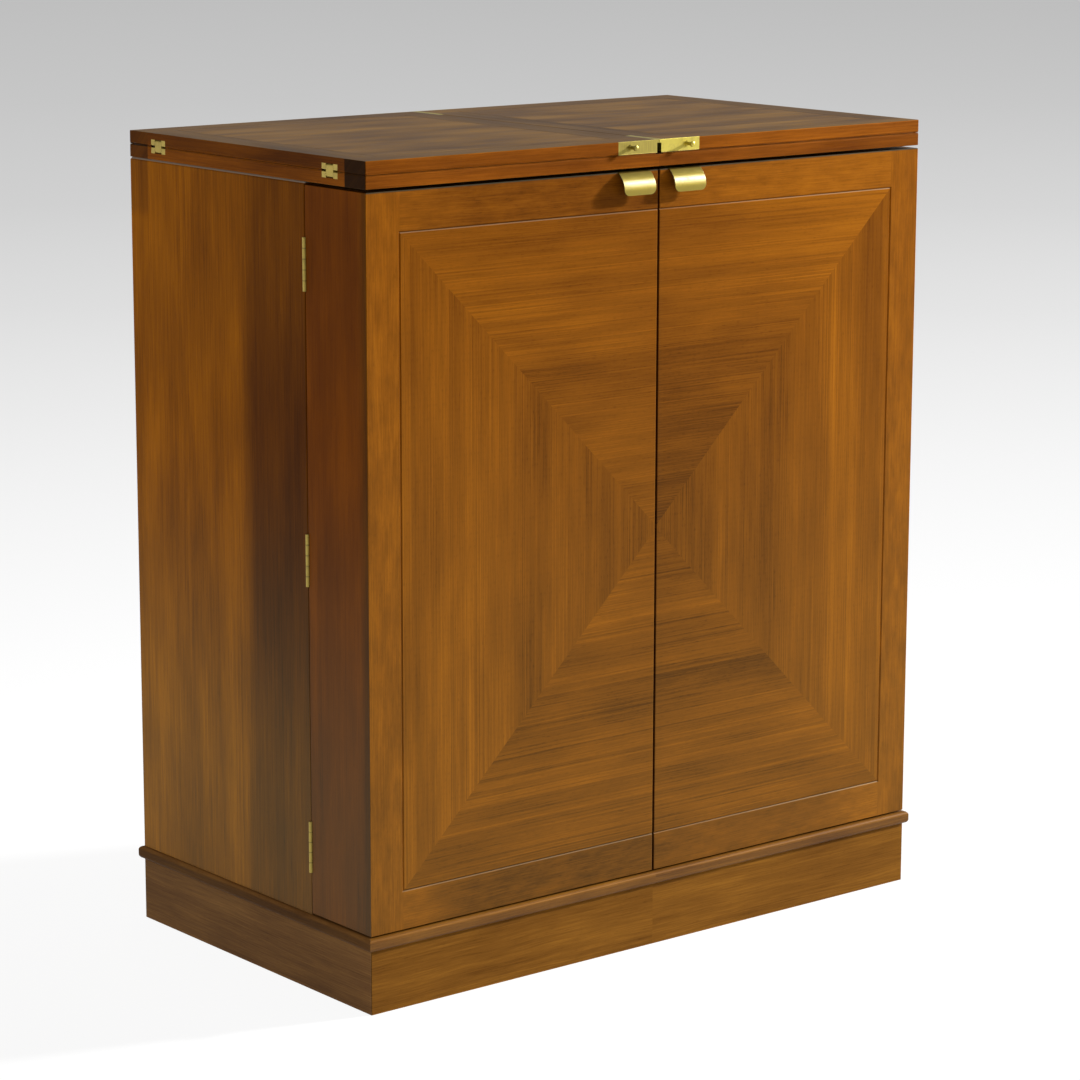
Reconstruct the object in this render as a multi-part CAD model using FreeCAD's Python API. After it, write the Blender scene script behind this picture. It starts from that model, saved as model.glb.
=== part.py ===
"""Bar cabinet with a fold-out top, made of its separate boards and fittings.

Millimetres. +X is to the right, +Z is up and the front faces -Y. The origin lies on the floor at
the centre of the plinth. The left half is modelled and the right half mirrors it across X = 0.
"""
import FreeCAD, Part
import math
import os

Vector = FreeCAD.Vector

# ---- Overall ----
CABINET_WIDTH = 880.0
CABINET_DEPTH = 493.0
CABINET_HEIGHT = 1016.0
EDGE_EASE = 1.0             # rounding of the boards' outer edges

# ---- Plinth and base ----
PLINTH_HEIGHT = 79.0
PLINTH_THICKNESS = 22.0
DECK_THICKNESS = 16.3
MOULDING_LAND = 20.0        # width of the moulding that stands on the plinth
MOULDING_OVERHANG = 5.6
MOULDING_ROUND = 5.2

# ---- Carcass ----
SIDE_THICKNESS = 18.0
CARCASS_TOP_THICKNESS = 18.0
BACK_THICKNESS = 8.0
BACK_REBATE = 9.0           # how far the back panel is let into each side
SPACER_WIDTH = 40.0
SPACER_SETBACK = 12.0       # front strip behind the carcass front

# ---- Interior ----
SHELF_THICKNESS = 18.0
SHELF_SETBACK = 6.0
FIXED_SHELF_HEIGHT = 440.0  # top of the fixed shelf above the deck
LOOSE_SHELF_CLEARANCE = 1.0
PIN_ROWS = 3
PIN_PITCH = 32.0
PIN_FIRST_ROW = 180.0       # lowest row of holes above the deck
PIN_SETBACK = 50.0
SHELF_PIN_RADIUS = 2.5
SHELF_PIN_DEPTH = 9.0
SHELF_PIN_TAB = (11.0, 8.0, 2.0)
SHELF_PIN_FIT = 0.05
HOLE_END_GAP = 1.0          # empty end of a blind hole

# ---- Serving top and leaves ----
TOP_THICKNESS = 15.15
TOP_STILE = 44.0
TOP_RAIL = 40.0
PANEL_CHAMFER = 0.8
REVEAL = 3.7                # gap over the doors, carried round the sides as a bevel
LEAF_GAP = 2.4
LEAF_SEAM = 0.8

# ---- Doors ----
DOOR_DEPTH = 120.0
DOOR_BOARD = 18.0
DOOR_INNER_BOARD = 15.0
DOOR_SHELF = 12.0
DOOR_LIFT = 1.7
MEETING_GAP = 3.0
SEAM_GAP = 1.4
GROOVE_BORDER = 48.0
GROOVE_WIDTH = 3.0          # V-groove, measured at the surface
GROOVE_DEPTH = 1.5
LOWER_BAY = 340.0
MIDDLE_BAY = 300.0
GUARD_RAIL_RADIUS = 3.0
GUARD_RAIL_HEIGHT = 70.0
GUARD_RAIL_SETBACK = 12.0
GUARD_RAIL_SOCKET = 8.0
GUARD_RAIL_FIT = 0.05

# ---- Door hinges ----
HINGE_LENGTH = 63.5
HINGE_KNUCKLES = 5
HINGE_BARREL_RADIUS = 2.5
HINGE_PIN_RADIUS = 1.2
HINGE_PIN_OFFSET = 0.5      # pin line outside the carcass side
HINGE_PLATE_WIDTH = 14.0
HINGE_PLATE_THICKNESS = 1.4
HINGE_TOP_SETBACK = 93.0
HINGE_BOTTOM_SETBACK = 83.5
HINGE_AIR = 0.3             # between neighbouring knuckles and between the two plates

# ---- Leaf hinges ----
FLAP_LENGTH = 31.0
FLAP_DEPTH = 9.5
FLAP_FRONT_SETBACK = 69.5
FLAP_REAR_SETBACK = 64.0
FLAP_LINK_RADIUS = 3.4
FLAP_LINK_WIDTH = 14.0
FLAP_LINK_AIR = 0.4
FLAP_PIN_RADIUS = 1.3
FLAP_PIN_RECESS = 0.6       # pin ends below the ends of the plate

# ---- Fits shared by both kinds of hinge ----
PIN_FIXED_FIT = 0.02
PIN_RUNNING_FIT = 0.05

# ---- Corner plates and knobs ----
PLATE_THICKNESS = 2.0
PLATE_REACH = 64.5          # from the leaf seam along the front edge
PLATE_RETURN = 60.0         # along the seam
PLATE_NOTCH = 2.9           # how far the plate stands back from the seam edge below its lip
PLATE_LIP = 4.2
KNOB_OFFSET = 45.0
KNOB_PROJECTION = 12.0
KNOB_RADIUS = 3.4
KNOB_NECK_RADIUS = 2.2
KNOB_BASE_THICKNESS = 1.4
KNOB_HEAD_LENGTH = 4.4
KNOB_FLARE = 1.1            # length over which the head widens from the waist
KNOB_DOME = 1.1
KNOB_STUD_RADIUS = 1.5
KNOB_STUD_LENGTH = 14.0
KNOB_STUD_FIT = 0.05

# ---- Door pulls ----
PULL_WIDTH = 50.0
PULL_OFFSET = 40.2
PULL_THICKNESS = 2.0
PULL_PROJECTION = 13.2
PULL_BEND = 13.0            # outer radius of the bend
PULL_DROP = 27.6
PULL_FLANGE = 30.0
PULL_CORNER = 8.0

# ---- Magnetic catch ----
CATCH_WIDTH = 44.0
CATCH_DEPTH = 16.0
CATCH_HEIGHT = 14.0
CATCH_AIR = 0.5             # between catch and strike plates
STRIKE_WIDTH = 9.0
STRIKE_HEIGHT = 12.0
STRIKE_THICKNESS = 1.2

# ---- Places worked out from the sizes above ----
HALF_WIDTH = CABINET_WIDTH / 2
FRONT = -CABINET_DEPTH / 2
REAR = CABINET_DEPTH / 2
DECK_TOP = PLINTH_HEIGHT + DECK_THICKNESS
LEAF_UNDERSIDE = CABINET_HEIGHT - TOP_THICKNESS
SERVING_HEIGHT = LEAF_UNDERSIDE - LEAF_GAP
SERVING_UNDERSIDE = SERVING_HEIGHT - TOP_THICKNESS
CARCASS_TOP = SERVING_UNDERSIDE - REVEAL
SIDE_INNER = HALF_WIDTH - SIDE_THICKNESS
BACK_FACE = REAR - BACK_THICKNESS
DOOR_REAR = FRONT + DOOR_DEPTH
DOOR_BOTTOM = DECK_TOP + DOOR_LIFT
CARCASS_FRONT = DOOR_REAR + SEAM_GAP
SHELF_FRONT = CARCASS_FRONT + SHELF_SETBACK
FIXED_SHELF_TOP = DECK_TOP + FIXED_SHELF_HEIGHT
PIN_LINE_X = -HALF_WIDTH - HINGE_PIN_OFFSET
PIN_LINE_Y = DOOR_REAR + SEAM_GAP / 2
MEETING_X = -MEETING_GAP / 2
SEAM_X = -LEAF_SEAM / 2
FLAP_PIN_X = -HALF_WIDTH + FLAP_LINK_RADIUS
LOWER_PIN_Z = SERVING_HEIGHT - FLAP_LINK_RADIUS
UPPER_PIN_Z = LEAF_UNDERSIDE + FLAP_LINK_RADIUS
FLAP_MIDDLES = (FRONT + FLAP_FRONT_SETBACK, REAR - FLAP_REAR_SETBACK)
ROUND_LIMIT = 0.45          # largest rounding as a share of the board's thickness
TOLERANCE = 1e-6
OVERCUT = 1.0               # how far a cutting block runs past an open face


# ---- Shaping helpers ----
def block(x, y, z):
    """Box between the limits x, y and z, each a (low, high) pair."""
    return Part.makeBox(x[1] - x[0], y[1] - y[0], z[1] - z[0], Vector(x[0], y[0], z[0]))


def rod(start, direction, length, radius):
    """Round bar from a start point along a direction."""
    return Part.makeCylinder(radius, length, Vector(*start), Vector(*direction))


def prism(outline, direction):
    """Solid swept from a closed outline of (x, y, z) corners."""
    corners = [Vector(*corner) for corner in outline]
    wire = Part.makePolygon(corners + corners[:1])
    return Part.Face(wire).extrude(Vector(*direction))


def plan_prism(outline, bottom, top):
    """Upright solid over a plan outline of (x, y) corners."""
    return prism([(x, y, bottom) for x, y in outline], (0, 0, top - bottom))


def ruled_bar(start, end):
    """Flat-sided solid between two ends with equally many corners."""
    following = start[1:] + start[:1], end[1:] + end[:1]
    outlines = [list(start), list(end)]
    outlines += [[near, far, far_next, near_next]
                 for near, far, near_next, far_next in zip(start, end, *following)]
    faces = [Part.Face(Part.makePolygon(outline + outline[:1])) for outline in outlines]
    bar = Part.Solid(Part.Shell(faces))
    return bar if bar.Volume > 0 else bar.reversed()


def lies_on(edge, plane):
    """Whether an edge lies on a plane such as ("x", 12.0)."""
    axis, value = plane
    return all(abs(getattr(vertex.Point, axis) - value) < TOLERANCE for vertex in edge.Vertexes)


def edges_on(shape, planes):
    """Edges of a shape that lie on at least one of the planes."""
    return [edge for edge in shape.Edges if any(lies_on(edge, plane) for plane in planes)]


def eased(shape, planes, radius=EDGE_EASE):
    """Shape with its edges on the given planes rounded."""
    return shape.makeFillet(radius, edges_on(shape, planes))


def to_right(shape):
    """Mirror image on the other side of the cabinet."""
    return shape.mirror(Vector(0, 0, 0), Vector(1, 0, 0))


def to_back(shape):
    """Mirror image at the other end of the depth."""
    return shape.mirror(Vector(0, 0, 0), Vector(0, 1, 0))


def both_sides(shapes):
    """The given left-hand shapes and their mirror images on the right."""
    return shapes + [to_right(shape) for shape in shapes]


def mitred_ring(blank, half_x, half_y, band, z):
    """The four mitred lengths of a rectangular frame cut from a blank."""
    inner_x = half_x - band
    inner_y = half_y - band
    front = [(-half_x, -half_y), (half_x, -half_y), (inner_x, -inner_y), (-inner_x, -inner_y)]
    left = [(-half_x, -half_y), (-inner_x, -inner_y), (-inner_x, inner_y), (-half_x, half_y)]
    front, left = (plan_prism(outline, *z) for outline in (front, left))
    cutters = {"front": front, "back": to_back(front), "left": left, "right": to_right(left)}
    return {name: blank.common(cutter) for name, cutter in cutters.items()}


# ---- Plinth and base ----
def plinth_boards():
    """Four mitred boards, flush with the carcass above."""
    z = (0.0, PLINTH_HEIGHT)
    blank = block((-HALF_WIDTH, HALF_WIDTH), (FRONT, REAR), z)
    uprights = [edge for edge in blank.Edges if not edges_lie_flat(edge)]
    blank = blank.makeFillet(EDGE_EASE, uprights)
    ring = mitred_ring(blank, HALF_WIDTH, REAR, PLINTH_THICKNESS, z)
    return {"plinth_" + side: [board] for side, board in ring.items()}


def edges_lie_flat(edge):
    """Whether both ends of an edge are at one height."""
    heights = [vertex.Point.z for vertex in edge.Vertexes]
    return max(heights) - min(heights) < TOLERANCE


def plinth_bearer():
    """Bearer from front to back under the middle of the deck."""
    half = PLINTH_THICKNESS / 2
    inner = REAR - PLINTH_THICKNESS
    return block((-half, half), (-inner, inner), (0.0, PLINTH_HEIGHT))


def base_deck():
    """Board on the plinth that is also the cabinet's floor."""
    half_x = HALF_WIDTH - MOULDING_LAND
    half_y = REAR - MOULDING_LAND
    return block((-half_x, half_x), (-half_y, half_y), (PLINTH_HEIGHT, DECK_TOP))


def base_mouldings():
    """Four mitred lengths of rounded moulding round the deck."""
    z = (PLINTH_HEIGHT, DECK_TOP)
    half_x = HALF_WIDTH + MOULDING_OVERHANG
    half_y = REAR + MOULDING_OVERHANG
    blank = block((-half_x, half_x), (-half_y, half_y), z)
    outer_edges = [edge for edge in blank.Edges if edges_lie_flat(edge)]
    blank = blank.makeFillet(min(MOULDING_ROUND, ROUND_LIMIT * DECK_THICKNESS), outer_edges)
    ring = mitred_ring(blank, half_x, half_y, MOULDING_LAND + MOULDING_OVERHANG, z)
    return {"base_moulding_front": [ring["front"]], "base_moulding_back": [ring["back"]],
            "base_moulding_sides": [ring["left"], ring["right"]]}


# ---- Carcass ----
def carcass_side():
    """Left side board with a bevelled top edge, a rebate for the back, pin holes and hinge seats."""
    z = (DECK_TOP, SERVING_UNDERSIDE)
    board = block((-HALF_WIDTH, -SIDE_INNER), (CARCASS_FRONT, REAR), z)
    board = eased(board, [("x", -HALF_WIDTH)])
    board = board.cut(side_bevel())
    rebate_x = -SIDE_INNER - BACK_REBATE
    board = board.cut(block((rebate_x, -SIDE_INNER + OVERCUT), (BACK_FACE, REAR + OVERCUT), z))
    depth = SHELF_PIN_DEPTH + HOLE_END_GAP
    for place_y in pin_columns():
        for row in range(PIN_ROWS):
            start = (-SIDE_INNER, place_y, pin_height(row))
            board = board.cut(rod(start, (-1, 0, 0), depth, SHELF_PIN_RADIUS + SHELF_PIN_FIT))
    for middle in hinge_middles():
        board = board.cut(hinge_seat(middle, 1))
    return board


def side_bevel():
    """What the left side's top edge gives up to carry the line of the reveal round the cabinet."""
    reach = REVEAL + OVERCUT
    start = CARCASS_FRONT - OVERCUT
    outline = [(-HALF_WIDTH - OVERCUT, start, CARCASS_TOP - OVERCUT),
               (-HALF_WIDTH + reach, start, CARCASS_TOP + reach),
               (-HALF_WIDTH - OVERCUT, start, CARCASS_TOP + reach)]
    return prism(outline, (0, REAR - CARCASS_FRONT + 2 * OVERCUT, 0))


def carcass_top():
    """Board between the sides under the serving top."""
    z = (CARCASS_TOP - CARCASS_TOP_THICKNESS, CARCASS_TOP)
    return block((-SIDE_INNER, SIDE_INNER), (CARCASS_FRONT, BACK_FACE), z)


def top_spacers():
    """Thin strips between the carcass top and the serving top."""
    z = (CARCASS_TOP, SERVING_UNDERSIDE)
    front = CARCASS_FRONT + SPACER_SETBACK
    inner_y = (front + SPACER_WIDTH, BACK_FACE - SPACER_WIDTH)
    front_strip = block((-SIDE_INNER, SIDE_INNER), (front, inner_y[0]), z)
    back_strip = block((-SIDE_INNER, SIDE_INNER), (inner_y[1], BACK_FACE), z)
    side_strip = block((-SIDE_INNER, SPACER_WIDTH - SIDE_INNER), inner_y, z)
    return [front_strip, back_strip] + both_sides([side_strip])


def back_panel():
    """Panel in the rebates of the sides, behind the deck, shelf and top."""
    half = SIDE_INNER + BACK_REBATE
    return block((-half, half), (BACK_FACE, REAR), (DECK_TOP, SERVING_UNDERSIDE))


# ---- Interior ----
def fixed_shelf():
    """Shelf between the sides at half height."""
    z = (FIXED_SHELF_TOP - SHELF_THICKNESS, FIXED_SHELF_TOP)
    return block((-SIDE_INNER, SIDE_INNER), (SHELF_FRONT, BACK_FACE), z)


def pin_columns():
    """Depths of the two columns of shelf-pin holes."""
    return (SHELF_FRONT + PIN_SETBACK, BACK_FACE - PIN_SETBACK)


def pin_height(row):
    """Height of the axis of a row of shelf-pin holes."""
    return DECK_TOP + PIN_FIRST_ROW + row * PIN_PITCH


def loose_shelf_underside():
    """Height at which the shelf pins carry the adjustable shelf."""
    return pin_height(PIN_ROWS // 2) + SHELF_PIN_RADIUS + SHELF_PIN_TAB[2]


def adjustable_shelf():
    """Loose shelf that lies on four pins."""
    half = SIDE_INNER - LOOSE_SHELF_CLEARANCE
    y = (SHELF_FRONT, BACK_FACE - LOOSE_SHELF_CLEARANCE)
    return block((-half, half), y, (loose_shelf_underside(), loose_shelf_underside() + SHELF_THICKNESS))


def shelf_pins():
    """Four pins with a flat tab that the shelf lies on."""
    tab_length, tab_width, tab_thickness = SHELF_PIN_TAB
    underside = loose_shelf_underside()
    axis_z = pin_height(PIN_ROWS // 2)
    pins = []
    for place_y in pin_columns():
        shank = rod((-SIDE_INNER - SHELF_PIN_DEPTH, place_y, axis_z), (1, 0, 0),
                    SHELF_PIN_DEPTH + tab_length, SHELF_PIN_RADIUS)
        y = (place_y - tab_width / 2, place_y + tab_width / 2)
        tab = block((-SIDE_INNER, tab_length - SIDE_INNER), y, (axis_z, underside))
        pins.append(shank.fuse(tab).removeSplitter())
    return both_sides(pins)


# ---- Framed boards: serving top and leaves ----
def framed_board(x, z):
    """Rails, stiles and panel of a board that fills the cabinet's depth."""
    blank = block(x, (FRONT, REAR), z)
    outline = [("x", x[0]), ("x", x[1]), ("y", FRONT), ("y", REAR)]
    blank = eased(blank, outline)
    inner_x = (x[0] + TOP_STILE, x[1] - TOP_STILE)
    inner_y = (FRONT + TOP_RAIL, REAR - TOP_RAIL)
    rails = [blank.common(block(x, y, z)) for y in ((FRONT, inner_y[0]), (inner_y[1], REAR))]
    stiles = [blank.common(block(ends, inner_y, z)) for ends in ((x[0], inner_x[0]), (inner_x[1], x[1]))]
    panel = block(inner_x, inner_y, z)
    panel = panel.makeChamfer(PANEL_CHAMFER, edges_on(panel, [("z", z[0]), ("z", z[1])]))
    return rails, stiles, panel


def serving_top():
    """Fixed board that the leaves lie on, with seats for the lower hinge plates."""
    rails, stiles, panel = framed_board((-HALF_WIDTH, HALF_WIDTH), (SERVING_UNDERSIDE, SERVING_HEIGHT))
    for middle in FLAP_MIDDLES:
        seats = both_sides([flap_blank(middle, *lower_plate_limits())])
        rails, stiles = ([board.cut(seats) for board in boards] for boards in (rails, stiles))
    return {"serving_top_rails": rails, "serving_top_stiles": stiles, "serving_top_panel": [panel]}


def left_leaf():
    """Left fold-out leaf, with seats for its hinge plates, corner plates and knob."""
    rails, stiles, panel = framed_board((-HALF_WIDTH, SEAM_X), (LEAF_UNDERSIDE, CABINET_HEIGHT))
    for middle in FLAP_MIDDLES:
        seat = flap_blank(middle, *upper_plate_limits())
        rails, stiles = ([board.cut(seat) for board in boards] for boards in (rails, stiles))
    seat = corner_plate_seat()
    stiles[1] = stiles[1].cut(seat).cut(to_back(seat))
    stud_hole = knob_axis_rod(0.0, KNOB_STUD_LENGTH + HOLE_END_GAP, KNOB_STUD_RADIUS + KNOB_STUD_FIT)
    rails = [rails[0].cut(seat).cut(stud_hole), rails[1].cut(to_back(seat))]
    return {"leaf_rails": rails, "leaf_stiles": stiles, "leaf_panel": [panel]}


# ---- Leaf hinges: two plates, a loose link and two pins each ----
def lower_plate_limits():
    """Heights of the plate let into the serving top."""
    return LOWER_PIN_Z - FLAP_LINK_RADIUS - FLAP_LINK_AIR, SERVING_HEIGHT


def upper_plate_limits():
    """Heights of the plate let into the leaf."""
    return LEAF_UNDERSIDE, UPPER_PIN_Z + FLAP_LINK_RADIUS + FLAP_LINK_AIR


def flap_blank(middle, bottom, top):
    """Outer block of a hinge plate, which is also its seat in the wood."""
    half = FLAP_LENGTH / 2
    return block((-HALF_WIDTH, FLAP_DEPTH - HALF_WIDTH), (middle - half, middle + half), (bottom, top))


def flap_plate(middle, pin_z, bottom, top):
    """Hinge plate: two ears on a web, open between them for the link."""
    blank = flap_blank(middle, bottom, top)
    face_z = bottom if pin_z > SERVING_HEIGHT else top
    outer_edges = [edge for edge in edges_on(blank, [("x", -HALF_WIDTH)]) if lies_on(edge, ("z", face_z))]
    blank = blank.makeFillet(EDGE_EASE, outer_edges)
    half_slot = FLAP_LINK_WIDTH / 2 + FLAP_LINK_AIR
    slot_end = FLAP_PIN_X + FLAP_LINK_RADIUS + FLAP_LINK_AIR
    slot = block((-HALF_WIDTH - OVERCUT, slot_end), (middle - half_slot, middle + half_slot),
                 (bottom - OVERCUT, top + OVERCUT))
    hole = rod((FLAP_PIN_X, middle - FLAP_LENGTH, pin_z), (0, 1, 0), 2 * FLAP_LENGTH,
               FLAP_PIN_RADIUS + PIN_RUNNING_FIT)
    return blank.cut(slot).cut(hole)


def flap_pin(middle, pin_z):
    """Pin fixed in one end of the link and turning in both ears of a plate."""
    length = FLAP_LENGTH - 2 * FLAP_PIN_RECESS
    return rod((FLAP_PIN_X, middle - length / 2, pin_z), (0, 1, 0), length, FLAP_PIN_RADIUS)


def flap_link(middle):
    """Link with round ends that joins the lower pin to the upper one."""
    y = middle - FLAP_LINK_WIDTH / 2
    left = FLAP_PIN_X - FLAP_LINK_RADIUS
    right = FLAP_PIN_X + FLAP_LINK_RADIUS
    low_left = Vector(left, y, LOWER_PIN_Z)
    low_right = Vector(right, y, LOWER_PIN_Z)
    high_left = Vector(left, y, UPPER_PIN_Z)
    high_right = Vector(right, y, UPPER_PIN_Z)
    crown = Vector(FLAP_PIN_X, y, UPPER_PIN_Z + FLAP_LINK_RADIUS)
    foot = Vector(FLAP_PIN_X, y, LOWER_PIN_Z - FLAP_LINK_RADIUS)
    outline = [Part.LineSegment(low_left, high_left), Part.Arc(high_left, crown, high_right),
               Part.LineSegment(high_right, low_right), Part.Arc(low_right, foot, low_left)]
    link = Part.Face(Part.Wire([side.toShape() for side in outline])).extrude(Vector(0, FLAP_LINK_WIDTH, 0))
    for pin_z in (LOWER_PIN_Z, UPPER_PIN_Z):
        start = (FLAP_PIN_X, y - OVERCUT, pin_z)
        link = link.cut(rod(start, (0, 1, 0), FLAP_LINK_WIDTH + 2 * OVERCUT, FLAP_PIN_RADIUS + PIN_FIXED_FIT))
    return link


# ---- Corner plates and knobs of the leaves ----
def corner_plate():
    """Plate round the leaf's inner front corner, with a lip along the seam."""
    z = (LEAF_UNDERSIDE, CABINET_HEIGHT)
    nose_x = SEAM_X - PLATE_NOTCH
    front_arm = block((-PLATE_REACH, nose_x), (FRONT, FRONT + PLATE_THICKNESS), z)
    seam_arm = block((nose_x - PLATE_THICKNESS, nose_x), (FRONT, FRONT + PLATE_RETURN), z)
    lip = block((nose_x, SEAM_X), (FRONT, FRONT + PLATE_RETURN), (CABINET_HEIGHT - PLATE_LIP, CABINET_HEIGHT))
    plate = front_arm.fuse(seam_arm).fuse(lip).removeSplitter()
    upper_edges = [edge for edge in edges_on(plate, [("y", FRONT)]) if lies_on(edge, ("z", CABINET_HEIGHT))]
    return plate.makeFillet(EDGE_EASE / 2, upper_edges)


def corner_plate_seat():
    """What the leaf's wood gives up for the front corner plate and its notch."""
    z = (LEAF_UNDERSIDE - OVERCUT, CABINET_HEIGHT + OVERCUT)
    inner_x = SEAM_X - PLATE_NOTCH - PLATE_THICKNESS
    front = block((-PLATE_REACH, OVERCUT), (FRONT - OVERCUT, FRONT + PLATE_THICKNESS), z)
    seam = block((inner_x, OVERCUT), (FRONT - OVERCUT, FRONT + PLATE_RETURN), z)
    return front.fuse(seam)


def knob_axis_rod(start, end, radius):
    """Round bar on the knob's axis, between depths behind the leaf's front."""
    height = CABINET_HEIGHT - TOP_THICKNESS / 2
    return rod((-KNOB_OFFSET, FRONT + start, height), (0, 1, 0), end - start, radius)


def drilled_corner_plate():
    """Front corner plate with the hole for the knob's stud."""
    hole = knob_axis_rod(-OVERCUT, PLATE_THICKNESS + OVERCUT, KNOB_STUD_RADIUS + KNOB_STUD_FIT)
    return corner_plate().cut(hole)


def knob():
    """Knob turned in one piece: stud, base ring, waist and a domed head."""
    neck_end = KNOB_PROJECTION - KNOB_HEAD_LENGTH
    flare_end = neck_end + KNOB_FLARE
    shoulder = KNOB_PROJECTION - KNOB_DOME
    sphere = (KNOB_RADIUS ** 2 + KNOB_DOME ** 2) / (2 * KNOB_DOME)
    half_angle = math.asin(KNOB_RADIUS / sphere) / 2
    steps = [(0.0, -KNOB_STUD_LENGTH), (KNOB_STUD_RADIUS, -KNOB_STUD_LENGTH), (KNOB_STUD_RADIUS, 0.0),
             (KNOB_RADIUS, 0.0), (KNOB_RADIUS, KNOB_BASE_THICKNESS), (KNOB_NECK_RADIUS, KNOB_BASE_THICKNESS),
             (KNOB_NECK_RADIUS, neck_end), (KNOB_RADIUS, flare_end), (KNOB_RADIUS, shoulder)]
    points = [Vector(radius, -reach, 0) for radius, reach in steps]
    crown = Vector(sphere * math.sin(half_angle), sphere * (1 - math.cos(half_angle)) - KNOB_PROJECTION, 0)
    tip = Vector(0, -KNOB_PROJECTION, 0)
    outline = [Part.LineSegment(start, end) for start, end in zip(points, points[1:])]
    outline += [Part.Arc(points[-1], crown, tip), Part.LineSegment(tip, points[0])]
    profile = Part.Face(Part.Wire([side.toShape() for side in outline]))
    turned = profile.revolve(Vector(0, 0, 0), Vector(0, 1, 0), 360)
    turned.translate(Vector(-KNOB_OFFSET, FRONT, CABINET_HEIGHT - TOP_THICKNESS / 2))
    return turned


# ---- Door boxes ----
def door_blank():
    """Outer block of the left door with its outer edges rounded."""
    blank = block((-HALF_WIDTH, MEETING_X), (FRONT, DOOR_REAR), (DOOR_BOTTOM, CARCASS_TOP))
    return eased(blank, [("x", -HALF_WIDTH), ("y", FRONT)])


def door_panel(blank):
    """Front board, mitred to the outer side, with the border groove."""
    inner_y = FRONT + DOOR_BOARD
    outline = [(-HALF_WIDTH, FRONT), (MEETING_X, FRONT), (MEETING_X, inner_y),
               (DOOR_BOARD - HALF_WIDTH, inner_y)]
    panel = blank.common(plan_prism(outline, DOOR_BOTTOM, CARCASS_TOP))
    for cutter in groove_cutters():
        panel = panel.cut(cutter)
    return panel.cut(pull_blank()).cut(door_pull())


def groove_cutters():
    """Three V-shaped cutters, mitred at the corners, that make the groove inside the door's border."""
    reach = GROOVE_WIDTH / 2 * (1 + OVERCUT / GROOVE_DEPTH)
    upright_x = GROOVE_BORDER - HALF_WIDTH
    end_x = MEETING_X + OVERCUT
    low = DOOR_BOTTOM + GROOVE_BORDER
    high = CARCASS_TOP - GROOVE_BORDER
    low_mitre = groove_section(upright_x, low, reach, reach)
    high_mitre = groove_section(upright_x, high, reach, -reach)
    runs = [(low_mitre, high_mitre), (low_mitre, groove_section(end_x, low, 0, reach)),
            (high_mitre, groove_section(end_x, high, 0, -reach))]
    return [ruled_bar(*run) for run in runs]


def groove_section(x, z, step_x, step_z):
    """Corners of the V at one place, with the steps from its middle line to the mouth of the V."""
    mouth_y = FRONT - OVERCUT
    return [Vector(x - step_x, mouth_y, z - step_z), Vector(x, FRONT + GROOVE_DEPTH, z),
            Vector(x + step_x, mouth_y, z + step_z)]


def door_outer_side(blank):
    """Return side, with hinge seats and sockets for the guard rails."""
    inner_x = DOOR_BOARD - HALF_WIDTH
    outline = [(-HALF_WIDTH, FRONT), (inner_x, FRONT + DOOR_BOARD), (inner_x, DOOR_REAR),
               (-HALF_WIDTH, DOOR_REAR)]
    side = blank.common(plan_prism(outline, DOOR_BOTTOM, CARCASS_TOP))
    for middle in hinge_middles():
        side = side.cut(hinge_seat(middle, -1))
    return side.cut(rail_sockets())


def door_inner_side():
    """Meeting side, with sockets for the guard rails and seats for the strike and the pull."""
    x = (MEETING_X - DOOR_INNER_BOARD, MEETING_X)
    side = block(x, (FRONT + DOOR_BOARD, DOOR_REAR), (DOOR_BOTTOM, CARCASS_TOP))
    return side.cut(rail_sockets()).cut(strike_plate()).cut(pull_blank())


def inside_door(z):
    """Board that fills the door box between its sides."""
    x = (DOOR_BOARD - HALF_WIDTH, MEETING_X - DOOR_INNER_BOARD)
    return block(x, (FRONT + DOOR_BOARD, DOOR_REAR), z)


def door_top():
    """Top board of the door box, with the seat of the pull's flange."""
    return inside_door((CARCASS_TOP - DOOR_INNER_BOARD, CARCASS_TOP)).cut(pull_blank())


def door_bottom():
    """Bottom board of the door box."""
    return inside_door((DOOR_BOTTOM, DOOR_BOTTOM + DOOR_INNER_BOARD))


def door_floors():
    """Heights of the surfaces that bottles and glasses stand on, each with room for its guard rail."""
    floors = [DOOR_BOTTOM + DOOR_INNER_BOARD]
    ceiling = CARCASS_TOP - DOOR_INNER_BOARD
    for bay in (LOWER_BAY, MIDDLE_BAY):
        floor = floors[-1] + bay + DOOR_SHELF
        if floor + GUARD_RAIL_HEIGHT + GUARD_RAIL_RADIUS < ceiling:
            floors.append(floor)
    return floors


def door_shelves():
    """Two fixed shelves in the door box."""
    return [inside_door((floor - DOOR_SHELF, floor)) for floor in door_floors()[1:]]


def guard_rail(floor, extra_radius=0.0, extra_length=0.0):
    """Rail across the open side of a door bay, sunk into both sides."""
    start_x = DOOR_BOARD - HALF_WIDTH - GUARD_RAIL_SOCKET - extra_length
    end_x = MEETING_X - DOOR_INNER_BOARD + GUARD_RAIL_SOCKET + extra_length
    start = (start_x, DOOR_REAR - GUARD_RAIL_SETBACK, floor + GUARD_RAIL_HEIGHT)
    return rod(start, (1, 0, 0), end_x - start_x, GUARD_RAIL_RADIUS + extra_radius)


def guard_rails():
    """One guard rail above each floor of the door."""
    return [guard_rail(floor) for floor in door_floors()]


def rail_sockets():
    """Tool that drills the sockets of all guard rails in the door's sides."""
    return [guard_rail(floor, GUARD_RAIL_FIT, HOLE_END_GAP) for floor in door_floors()]


# ---- Door pulls ----
def pull_limits():
    """Left and right end of the left door's pull."""
    return -PULL_OFFSET - PULL_WIDTH / 2, -PULL_OFFSET + PULL_WIDTH / 2


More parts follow.
